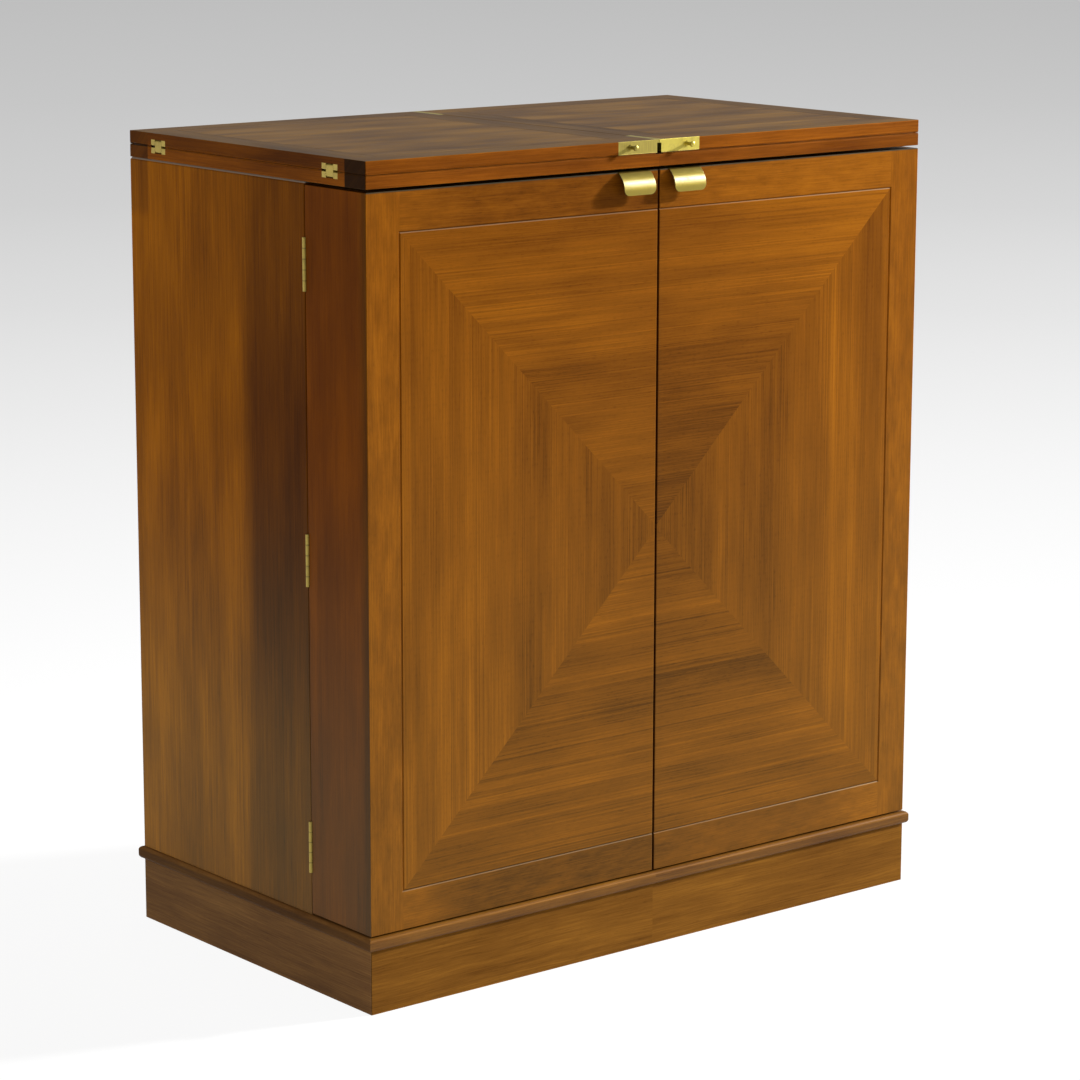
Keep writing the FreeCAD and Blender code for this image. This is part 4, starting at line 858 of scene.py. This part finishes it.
class CabinetStudioSettings(bpy.types.PropertyGroup):
    """Camera, lights and floor."""

    camera_place: FloatVectorProperty(
        name="Camera", description="Place of the camera", subtype="TRANSLATION", unit="LENGTH",
        default=(-2.8423, -3.5326, 1.4212))
    camera_yaw: FloatProperty(
        name="Yaw", description="Direction of view, to the right of straight ahead", subtype="ANGLE",
        default=math.radians(38.970))
    camera_pitch: FloatProperty(
        name="Pitch", description="How far the camera looks down", subtype="ANGLE",
        default=math.radians(11.710))
    camera_roll: FloatProperty(
        name="Roll", description="Tilt of the camera about its own axis", subtype="ANGLE",
        default=math.radians(0.1254))
    camera_lens: FloatProperty(
        name="Lens", description="Focal length in millimetres", subtype="DISTANCE_CAMERA", default=119.58,
        min=10.0, max=400.0)
    key_direction: FloatVectorProperty(
        name="Key direction", description="Direction from the cabinet to the key lamp", subtype="DIRECTION",
        default=(0.88, -0.31, 0.36))
    key_distance: FloatProperty(
        name="Key distance", description="Distance of the key lamp", unit="LENGTH", default=12.0, min=1.0,
        max=30.0)
    key_size: FloatProperty(
        name="Key size", description="Width of the key lamp", unit="LENGTH", default=0.85, min=0.05,
        max=5.0)
    key_level: FloatProperty(
        name="Key level", description="Light of the key lamp on a surface that faces it", default=1.85,
        min=0.0, max=10.0)
    fill_direction: FloatVectorProperty(
        name="Fill direction", description="Direction from the cabinet to the fill lamp",
        subtype="DIRECTION", default=(-0.90, 0.35, 0.25))
    fill_level: FloatProperty(
        name="Fill level", description="Light of the fill lamp on a surface that faces it", default=0.18,
        min=0.0, max=10.0)
    top_direction: FloatVectorProperty(
        name="Top direction", description="Direction from the cabinet to the lamp over it",
        subtype="DIRECTION", default=(0.60, -0.18, 0.78))
    top_level: FloatProperty(
        name="Top level", description="Light of the lamp over the cabinet on a surface that faces it",
        default=0.25, min=0.0, max=10.0)
    ambient_level: FloatProperty(
        name="Ambient", description="Light that comes evenly from all round", default=0.38, min=0.0,
        max=5.0)
    floor_radius: FloatProperty(
        name="Floor radius", description="Radius of the studio floor", unit="LENGTH", default=30.0,
        min=2.0, max=100.0)


# ---- Operators: finishes ----
class CABINET_OT_dress_doors(bpy.types.Operator):
    """Veneer the doors, their sides and their insides"""
    bl_idname = "cabinet.dress_doors"
    bl_label = "Dress Doors"

    def execute(self, context):
        settings = context.scene.cabinet_wood
        dress(DoorFront().make(), *pair("door_panel"))
        wood, shade, grain = plain_board("door return", "left_door_outer_side", "z",
                                         settings.return_colour, 7.0, lines=0.35, drift=0.8, fine=0.6)
        corner = wood.tree.step(wood.place["y"], wood.low.y + 20 * MM, wood.low.y)
        shade = wood.inner_face("x", False, wood.tree.tint(corner, shade, RETURN_CORNER_SHARE))
        dress(wood.finish(shade, grain), *pair("door_outer_side"))
        for name, along in (("door_inner_side", "z"), ("door_top", "x"), ("door_bottom", "x"),
                            ("door_shelves", "x")):
            wood, shade, grain = plain_board(name.replace("_", " "), "left_" + name, along,
                                             settings.inside_colour, 11.0, wear=0.3)
            dress(wood.finish(shade, grain), *pair(name))
        return {"FINISHED"}


class CABINET_OT_dress_carcass(bpy.types.Operator):
    """Veneer the carcass, its back and its shelves"""
    bl_idname = "cabinet.dress_carcass"
    bl_label = "Dress Carcass"

    def execute(self, context):
        settings = context.scene.cabinet_wood
        dress(side_veneer(), "carcass_left_side", "carcass_right_side")
        wood, shade, grain = plain_board("back veneer", "back_panel", "z", settings.side_colour, 13.0,
                                         lines=0.2)
        dress(wood.finish(wood.inner_face("y", False, shade), grain), "back_panel")
        for name in ("carcass_top", "top_spacers", "fixed_shelf", "adjustable_shelf", "base_deck"):
            wood, shade, grain = plain_board(name.replace("_", " "), name, "x", settings.inside_colour,
                                             15.0, wear=0.3)
            dress(wood.finish(shade, grain), name)
        return {"FINISHED"}


class CABINET_OT_dress_tops(bpy.types.Operator):
    """Veneer the serving top and the leaves"""
    bl_idname = "cabinet.dress_tops"
    bl_label = "Dress Tops"

    def execute(self, context):
        settings = context.scene.cabinet_wood
        # The serving top's rails are darker on their right half as painted shade; the right leaf's rails
        # are paler.
        for top, boards, halves, painted_side_shade in (("leaf ", pair("leaf_"), (0.0, 0.12), 0.66),
                                             ("serving top ", ("serving_top_",), (0.0, -0.10), 0.92)):
            for part, along in (("rails", "x"), ("stiles", "y"), ("panel", "x")):
                panel = part == "panel"
                wood, shade, grain = plain_board(
                    top + part, boards[0] + part, along,
                    settings.top_colour if panel else settings.frame_colour, 17.0,
                    flat=[TOP_SHARES[part] * value for value in settings.top_colour],
                    ends=(0.98, 0.62), lines=0.5, drift=1.5 if panel else 1.1, fine=2.1 if panel else 0.7,
                    halves=halves if part == "rails" else (0.0, 0.0),
                    painted_side_shade=painted_side_shade if part == "stiles" else 1.0)
                dress(wood.finish(shade, grain), *(board + part for board in boards))
        return {"FINISHED"}


class CABINET_OT_dress_plinth(bpy.types.Operator):
    """Veneer the plinth and its moulding"""
    bl_idname = "cabinet.dress_plinth"
    bl_label = "Dress Plinth"

    def execute(self, context):
        settings = context.scene.cabinet_wood
        for name, along in (("plinth_front", "x"), ("plinth_back", "x"), ("plinth_left", "y"),
                            ("plinth_right", "y"), ("base_moulding_front", "x"),
                            ("base_moulding_back", "x"), ("base_moulding_sides", "y"),
                            ("plinth_bearer", "y")):
            moulding = "moulding" in name
            colour = Vector(settings.plinth_colour) * (MOULDING_SHARE if moulding else 1.0)
            # painted grey reflection on the boards that run from front to back
            if along == "y":
                colour += Vector(MOULDING_SIDE_PAINTED_REFLECTION if moulding else PLINTH_SIDE_PAINTED_REFLECTION)
            wood, shade, grain = plain_board(name.replace("_", " "), name, along, colour, 23.0, lines=0.5,
                                             drift=0.75, wander=14 * MM, fine=0.8,
                                             painted_side_shade=0.64 if moulding else 1.0)
            if moulding:
                # painted highlight and shade on the round moulding, by how far it faces up
                shade = wood.tree.tint(1.0, shade, wood.tree.ramp(wood.tree.facing()[2], MOULDING_PAINTED_LIGHT))
            dress(wood.finish(shade, grain, coat=0.3 if name == "base_moulding_front" else 0.0), name)
        return {"FINISHED"}


class CABINET_OT_dress_fittings(bpy.types.Operator):
    """Finish the brass, steel and plastic fittings"""
    bl_idname = "cabinet.dress_fittings"
    bl_label = "Dress Fittings"

    def execute(self, context):
        settings = context.scene.cabinet_fittings
        tarnish, satin = settings.tarnish_colour, settings.brass_roughness
        brass = metal("brass", settings.brass_colour, tarnish, satin, left_tarnish_and_shade=0.75)
        # painted highlight and shade of the pulls, by how far their surface faces up
        painted_light = [(upwards, tuple(share * part for share, part in zip(shares, settings.pull_colour)))
                  for upwards, shares in PULL_PAINTED_LIGHT]
        pulls = metal("pull brass", settings.pull_colour, tarnish, satin - 0.06, (60, 700, 700),
                      painted_light=painted_light)
        plates = metal("hinge brass", settings.hinge_colour, tarnish, satin + 0.08, (80, 900, 900),
                       metallic=0.6)
        low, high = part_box("door_hinge_pins")
        feet = (low.z, (low.z + high.z - HINGE_LENGTH) / 2, high.z - HINGE_LENGTH)
        barrels = metal("door hinge brass", BARREL_SHARE * Vector(settings.hinge_colour), tarnish,
                        satin + 0.08, metallic=0.6, hinges=feet)
        steel = metal("plated steel", settings.steel_colour, settings.steel_colour, 0.32)
        dress(brass, *pair("leaf_corner_plates"), *pair("leaf_knob"), *pair("door_guard_rails"))
        dress(pulls, *pair("door_pull"))
        dress(plates, "leaf_hinge_base_plates", *pair("leaf_hinge_plates"), *pair("leaf_hinge_links"),
              *pair("leaf_hinge_pins"))
        dress(barrels, *pair("door_hinge_leaves"), "door_hinge_carcass_leaves", "door_hinge_pins")
        dress(steel, *pair("door_strike"), "shelf_pins")
        dress(plastic("catch plastic", settings.plastic_colour), "magnetic_catch")
        metal("slot shade", (0.10, 0.08, 0.04), (0.06, 0.05, 0.03), 0.6)
        return {"FINISHED"}


# ---- Operators: small fittings ----
class CABINET_OT_add_door_hinge_screws(bpy.types.Operator):
    """Add the countersunk screws of the door hinges, three in each plate"""
    bl_idname = "cabinet.add_door_hinge_screws"
    bl_label = "Add Door Hinge Screws"

    def execute(self, context):
        radius = context.scene.cabinet_fittings.screw_radius
        brass = bpy.data.materials["hinge brass"]
        proud = HINGE_PLATE_GAP / 3
        screws("door_hinge_carcass_screws", "cabinet", brass, mirrored(self.places(1)), radius,
               proud)
        paired_screws("door_hinge_screws", "door", brass, self.places(-1), radius, proud)
        return {"FINISHED"}

    def places(self, behind):
        """Screws on the left of the cabinet, in the plates behind the gap (1) or before it (-1)."""
        low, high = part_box("door_hinge_pins")
        face_y = (low.y + high.y) / 2 + behind * HINGE_PLATE_GAP / 2
        plate_x = (high.y - low.y) / 2 - high.x + 9.8 * MM
        stagger, pitch = 2.2 * MM, 22 * MM
        middles = (low.z + HINGE_LENGTH / 2, (low.z + high.z) / 2, high.z - HINGE_LENGTH / 2)
        return [((plate_x + side * stagger, face_y, middle + row * pitch), (0, -behind, 0))
                for middle in middles for row, side in ((-1, 1), (0, -1), (1, 1))]


class CABINET_OT_add_leaf_hinge_screws(bpy.types.Operator):
    """Add the small screws in the plates of the leaf hinges"""
    bl_idname = "cabinet.add_leaf_hinge_screws"
    bl_label = "Add Leaf Hinge Screws"

    def execute(self, context):
        radius = context.scene.cabinet_fittings.small_screw_radius
        brass = bpy.data.materials["hinge brass"]
        base_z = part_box("leaf_hinge_base_plates")[1].z
        low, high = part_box("left_leaf_hinge_plates")
        x = high.x - 2.5 * MM
        from_end, proud = 4.2 * MM, 0.3 * MM
        steps = (from_end, LEAF_PLATE - from_end)
        rows = [low.y + step for step in steps] + [high.y - step for step in steps]
        below = [((x, y, base_z), (0, 0, 1)) for y in rows]
        above = [((x, y, low.z), (0, 0, -1)) for y in rows]
        screws("serving_top_hinge_screws", "cabinet", brass, mirrored(below), radius, proud)
        paired_screws("leaf_hinge_screws", "leaf", brass, above, radius, proud)
        return {"FINISHED"}


class CABINET_OT_add_lippings(bpy.types.Operator):
    """Add the thin lippings that stand proud along the edges where the leaves and the serving top meet"""
    bl_idname = "cabinet.add_lippings"
    bl_label = "Add Lippings"

    def execute(self, context):
        settings = context.scene.cabinet_fittings
        materials = [self.material(context.scene.cabinet_wood.frame_colour),
                     bpy.data.materials["hinge brass"]]
        low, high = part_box("left_leaf_rails")
        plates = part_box("left_leaf_corner_plates")
        rise, depth = settings.lipping_height, settings.lipping_depth
        notch = plates[1].x - settings.plate_notch
        leaf = (low.z - rise, low.z)
        strips = self.ends(low.x + depth, plates[0].x, low, high, leaf, depth, 0)
        strips += self.ends(plates[0].x, notch, low, high, leaf, depth, 1)
        strips += self.side(low, high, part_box("left_leaf_hinge_plates"), leaf, depth)
        for side, sign in (("left", 1), ("right", -1)):
            add_piece(side + "_leaf_lipping", side + "_leaf", self.build(strips, sign),
                      materials)
        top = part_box("serving_top_rails")[1].z
        serving = (top, top + rise)
        strips = self.ends(low.x + depth, 0.0, low, high, serving, depth, 0)
        strips += self.side(low, high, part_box("leaf_hinge_base_plates"), serving, depth)
        mesh = self.build(strips, 1)
        self.build(strips, -1, mesh)
        add_piece("serving_top_lipping", "cabinet", mesh, materials)
        return {"FINISHED"}

    def material(self, colour):
        """Wood of the strips, dark where they lie on the end grain of the rails."""
        wood, shade, grain = plain_board("lipping", "left_leaf_rails", "x", colour, 29.0,
                                         ends=0.0, wear=0.0)
        math = wood.tree.math
        middle, half = (wood.low.y + wood.high.y) / 2, (wood.high.y - wood.low.y) / 2
        past = math("ABSOLUTE", math("SUBTRACT", wood.place["y"], middle))
        ends = math("MULTIPLY", math("GREATER_THAN", past, half - RAIL), 0.95)
        return wood.finish(wood.end_grain(shade, ends), grain)

    def ends(self, start, stop, low, high, heights, depth, index):
        """Strips along the front and back edges: two corners and the number of a material each."""
        return [(Vector((start, y, heights[0])), Vector((stop, y + depth, heights[1])), index)
                for y in (low.y, high.y - depth)]

    def side(self, low, high, plates, heights, depth):
        """Strips along the outer edge, between and beyond the hinge plates."""
        air = 0.3 * MM
        stops = (low.y + depth, plates[0].y - air, plates[0].y + LEAF_PLATE + air,
                 plates[1].y - LEAF_PLATE - air, plates[1].y + air, high.y - depth)
        return [(Vector((low.x, start, heights[0])), Vector((low.x + depth, stop, heights[1])), 0)
                for start, stop in zip(stops[0::2], stops[1::2])]

    def build(self, strips, sign, mesh=None):
        """Strips as a mesh, mirrored where the sign is -1."""
        mesh = mesh or bmesh.new()
        for low, high, index in strips:
            x, y, z = (low + high) / 2
            corners = add_block(mesh, (sign * x, y, z), high - low)
            for face in {face for vert in corners for face in vert.link_faces}:
                face.material_index = index
            ease(mesh, list({edge for vert in corners for edge in vert.link_edges}), 0.12 * MM)
        return mesh


class CABINET_OT_add_pulls(bpy.types.Operator):
    """Add the bent brass pulls: a flange, a tight shoulder and a lip that curves down more slowly"""
    bl_idname = "cabinet.add_pulls"
    bl_label = "Add Pulls"

    def execute(self, context):
        for side in ("left", "right"):
            node = side + "_door_pull"
            mesh = self.plate(*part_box(node), context.scene.cabinet_fittings)
            piece = add_piece(side + "_pull", side + "_door", mesh,
                              [bpy.data.materials["pull brass"]])
            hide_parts(node)
        return {"FINISHED"}

    def section(self, low, high, settings):
        """Side section from the flange to the tip: out, drop and tilt from level of each row."""
        steps = 12
        reach, drop = FRONT - low.y, high.z - low.z
        rows = [(FRONT - high.y, 0.0, 0.0), (0.0, 0.0, 0.0)]
        for radius, end in ((settings.pull_shoulder, settings.pull_tilt),
                            (settings.pull_slope, settings.pull_turn), (None, math.pi / 2)):
            out, fall, start = rows[-1]
            radius = radius or (reach - out) / (1 - math.sin(start))
            for turn in (start + (end - start) * step / steps for step in range(1, steps + 1)):
                rows.append((out + radius * (math.sin(turn) - math.sin(start)),
                             fall + radius * (math.cos(start) - math.cos(turn)), turn))
        for degrees in (60, 45, 30, 15, 0):
            rest = settings.pull_corner * (1 - math.cos(math.radians(degrees)))
            if drop - rest > rows[-1][1]:
                rows.append((reach, drop - rest, math.pi / 2))
        return rows

    def plate(self, low, high, settings):
        """Bent strip with round lower corners and eased edges."""
        mesh = bmesh.new()
        middle, half = (low.x + high.x) / 2, (high.x - low.x) / 2
        corner = settings.pull_corner
        outer, inner = [], []
        for out, drop, turn in self.section(low, high, settings):
            past = max(0.0, corner - (high.z - low.z - drop))
            width = half - corner + math.sqrt(corner ** 2 - past ** 2)
            for row, depth in ((outer, 0.0), (inner, settings.pull_thickness)):
                y = FRONT - out + depth * math.sin(turn)
                z = high.z - drop - depth * math.cos(turn)
                row.append([mesh.verts.new((middle + side * width, y, z)) for side in (-1, 1)])
        for (a, b), (c, d), (e, f), (g, h) in zip(outer, outer[1:], inner, inner[1:]):
            for corners in ((a, b, d, c), (f, e, g, h), (e, a, c, g), (b, f, h, d)):
                mesh.faces.new(corners)
        for end in (0, -1):
            mesh.faces.new((*outer[end], *inner[end][::-1]))
        bmesh.ops.recalc_face_normals(mesh, faces=mesh.faces)
        sharp = [edge for edge in mesh.edges if edge.calc_face_angle() > math.radians(60)]
        rounded = set(ease(mesh, sharp, settings.pull_ease)["faces"])
        for face in mesh.faces:
            face.smooth = True
        for edge in mesh.edges:
            edge.smooth = sum(face in rounded for face in edge.link_faces) != 1
        return mesh


class CABINET_OT_add_pull_screws(bpy.types.Operator):
    """Add two screws in the flange of each door pull"""
    bl_idname = "cabinet.add_pull_screws"
    bl_label = "Add Pull Screws"

    def execute(self, context):
        low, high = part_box("left_door_pull")
        middle = (low.x + high.x) / 2
        places = [((middle + step, high.y - 11 * MM, high.z), (0, 0, 1)) for step in (-14 * MM, 14 * MM)]
        paired_screws("pull_screws", "door", bpy.data.materials["pull brass"], places,
                      context.scene.cabinet_fittings.screw_radius, 0.5 * MM)
        return {"FINISHED"}


class CABINET_OT_add_catch_details(bpy.types.Operator):
    """Add the catch's pole plates and screws and the screws of the strike plates"""
    bl_idname = "cabinet.add_catch_details"
    bl_label = "Add Catch Details"

    def execute(self, context):
        settings = context.scene.cabinet_fittings
        steel = bpy.data.materials["plated steel"]
        catch_low, catch_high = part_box("magnetic_catch")
        strike_low, strike_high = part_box("left_door_strike")
        strike = (strike_low + strike_high) / 2
        poles = bmesh.new()
        for side in (-1, 1):
            for step in (-2.6 * MM, 2.6 * MM):
                add_block(poles, (side * strike.x + step, catch_low.y + 0.3 * MM, strike.z),
                          (1.4 * MM, 1.0 * MM, 10 * MM))
        ease(poles, poles.edges[:], 0.15 * MM)
        add_piece("catch_pole_plates", "cabinet", poles, [steel])
        under = [((side * 17 * MM, (catch_low.y + catch_high.y) / 2, catch_low.z), (0, 0, -1))
                 for side in (-1, 1)]
        screws("catch_screws", "cabinet", steel, under, settings.screw_radius, 0.6 * MM)
        face = [((strike.x, strike_high.y, strike.z), (0, 1, 0))]
        paired_screws("strike_screw", "door", steel, face, settings.small_screw_radius, 0.1 * MM)
        return {"FINISHED"}


class CABINET_OT_add_back_screws(bpy.types.Operator):
    """Add the screws that hold the back panel in its rebates"""
    bl_idname = "cabinet.add_back_screws"
    bl_label = "Add Back Screws"

    def execute(self, context):
        settings = context.scene.cabinet_fittings
        low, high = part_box("back_panel")
        inset, first = 5 * MM, 30 * MM
        count = settings.back_screws
        rise = (high.z - low.z - 2 * first) / (count - 1)
        upright = [((low.x + inset, high.y, low.z + first + row * rise), (0, 1, 0))
                   for row in range(count)]
        across = [((low.x / 3, high.y, z), (0, 1, 0)) for z in (low.z + 8 * MM, high.z - 12 * MM)]
        screws("back_panel_screws", "cabinet", bpy.data.materials["plated steel"],
               mirrored(upright + across), settings.screw_radius, 0.3 * MM)
        return {"FINISHED"}


# ---- Operator: studio ----
class CABINET_OT_set_stage(bpy.types.Operator):
    """Set the floor, the lamps, the backdrop and the camera"""
    bl_idname = "cabinet.set_stage"
    bl_label = "Set Stage"

    def execute(self, context):
        scene = context.scene
        settings = scene.cabinet_studio
        scene.view_settings.view_transform = "Standard"
        self.add_floor(scene, settings)
        self.add_world(scene, settings)
        self.add_lamp(scene, "key lamp", settings.key_direction, settings.key_distance, settings.key_size,
                      settings.key_level)
        self.add_lamp(scene, "fill lamp", settings.fill_direction, LAMP_DISTANCE, FILL_SIZE,
                      settings.fill_level)
        lamp = self.add_lamp(scene, "top lamp", settings.top_direction, LAMP_DISTANCE, TOP_SIZE,
                             settings.top_level)
        lamp.visible_glossy = False
        self.add_camera(scene, settings)
        return {"FINISHED"}

    def seen(self, tree):
        """1 for rays from the camera, straight or by way of a shiny or clear surface, and else 0."""
        rays = tree.node("LightPath").outputs
        return tree.math("MAXIMUM", rays["Is Camera Ray"],
                         tree.math("MAXIMUM", rays["Is Glossy Ray"], rays["Is Transmission Ray"]))

    def add_floor(self, scene, settings):
        """Pale floor whose seen colour, a painted pool of light, fades to grey far behind the cabinet."""
        mesh = bmesh.new()
        bmesh.ops.create_circle(mesh, cap_ends=True, segments=96, radius=settings.floor_radius)
        data = bpy.data.meshes.new("floor")
        mesh.to_mesh(data)
        mesh.free()
        floor = bpy.data.objects.new("floor", data)
        scene.collection.objects.link(floor)
        material, tree = new_material("studio floor")
        reach = tree.node("VectorMath", {0: tree.place()}, operation="LENGTH").outputs["Value"]
        seen = self.seen(tree)
        paint = tree.node("BsdfDiffuse", {"Color": tree.blend(seen, FLOOR_PAINT, FLOOR_PAINT_SEEN)})
        # painted pool of light that fades with distance from the cabinet
        glow = tree.node("Emission", {"Color": tree.profile(reach, FLOOR_SHADES, 1.0), "Strength": seen})
        tree.show(tree.node("AddShader", {0: paint.outputs[0], 1: glow.outputs[0]}))
        data.materials.append(material)

    def add_world(self, scene, settings):
        """Even light from all round, and a plain grey backdrop where it is seen."""
        world = bpy.data.worlds.new("studio")
        scene.world = world
        world.use_nodes = True
        world.node_tree.nodes.clear()
        tree = Tree(world.node_tree)
        height = tree.split(tree.node("TexCoord").outputs["Generated"])[2]
        ambient = (settings.ambient_level,) * 3 + (1,)
        shade = tree.blend(self.seen(tree), ambient, tree.ramp(height, BACKDROP_SHADES))
        tree.show(tree.node("Background", {"Color": shade}), "OutputWorld")

    def add_lamp(self, scene, name, direction, distance, size, level):
        """Square lamp that lights a surface facing it, at the cabinet, as brightly as the level says."""
        data = bpy.data.lights.new(name, "AREA")
        data.size = size
        data.energy = level * (math.pi * distance) ** 2
        lamp = bpy.data.objects.new(name, data)
        scene.collection.objects.link(lamp)
        toward = Vector(direction).normalized()
        lamp.location = Vector((0, 0, CAD_BOX[1][2] / 2)) + toward * distance
        lamp.rotation_euler = toward.to_track_quat("Z", "Y").to_euler()
        lamp.visible_camera = False
        return lamp

    def add_camera(self, scene, settings):
        """Camera in front of the cabinet's left corner."""
        data = bpy.data.cameras.new("camera")
        data.lens = settings.camera_lens
        data.sensor_width = 36.0
        data.clip_end = 200.0
        camera = bpy.data.objects.new("camera", data)
        scene.collection.objects.link(camera)
        turn = (Matrix.Rotation(-settings.camera_yaw, 4, "Z")
                @ Matrix.Rotation(math.pi / 2 - settings.camera_pitch, 4, "X")
                @ Matrix.Rotation(settings.camera_roll, 4, "Z"))
        camera.matrix_world = Matrix.Translation(settings.camera_place) @ turn
        scene.camera = camera


OPERATORS = (CABINET_OT_dress_doors, CABINET_OT_dress_carcass, CABINET_OT_dress_tops,
             CABINET_OT_dress_plinth, CABINET_OT_dress_fittings, CABINET_OT_add_door_hinge_screws,
             CABINET_OT_add_leaf_hinge_screws, CABINET_OT_add_lippings, CABINET_OT_add_pulls,
             CABINET_OT_add_pull_screws, CABINET_OT_add_catch_details,
             CABINET_OT_add_back_screws, CABINET_OT_set_stage)
SETTINGS = {"cabinet_wood": CabinetWoodSettings, "cabinet_fittings": CabinetFittingSettings,
            "cabinet_studio": CabinetStudioSettings}


class VIEW3D_PT_bar_cabinet(bpy.types.Panel):
    """Settings and steps of the cabinet's finish"""
    bl_label = "Bar Cabinet"
    bl_idname = "VIEW3D_PT_bar_cabinet"
    bl_space_type = "VIEW_3D"
    bl_region_type = "UI"
    bl_category = "Bar Cabinet"

    def draw(self, context):
        for name, group in SETTINGS.items():
            box = self.layout.box()
            box.label(text=group.__doc__)
            for prop in group.__annotations__:
                box.prop(getattr(context.scene, name), prop)
        for operator in OPERATORS:
            self.layout.operator(operator.bl_idname)


def register():
    """Register the settings, steps and panel."""
    for group in SETTINGS.values():
        bpy.utils.register_class(group)
    for name, group in SETTINGS.items():
        setattr(bpy.types.Scene, name, PointerProperty(type=group))
    for operator in OPERATORS:
        bpy.utils.register_class(operator)
    bpy.utils.register_class(VIEW3D_PT_bar_cabinet)


def unregister():
    """Take everything out again."""
    bpy.utils.unregister_class(VIEW3D_PT_bar_cabinet)
    for operator in reversed(OPERATORS):
        bpy.utils.unregister_class(operator)
    for name, group in SETTINGS.items():
        delattr(bpy.types.Scene, name)
        bpy.utils.unregister_class(group)


def main():
    """Register the add-on and run its steps in order."""
    register()
    for operator in OPERATORS:
        group, name = operator.bl_idname.split(".")
        getattr(getattr(bpy.ops, group), name)()


if __name__ == "__main__":
    main()
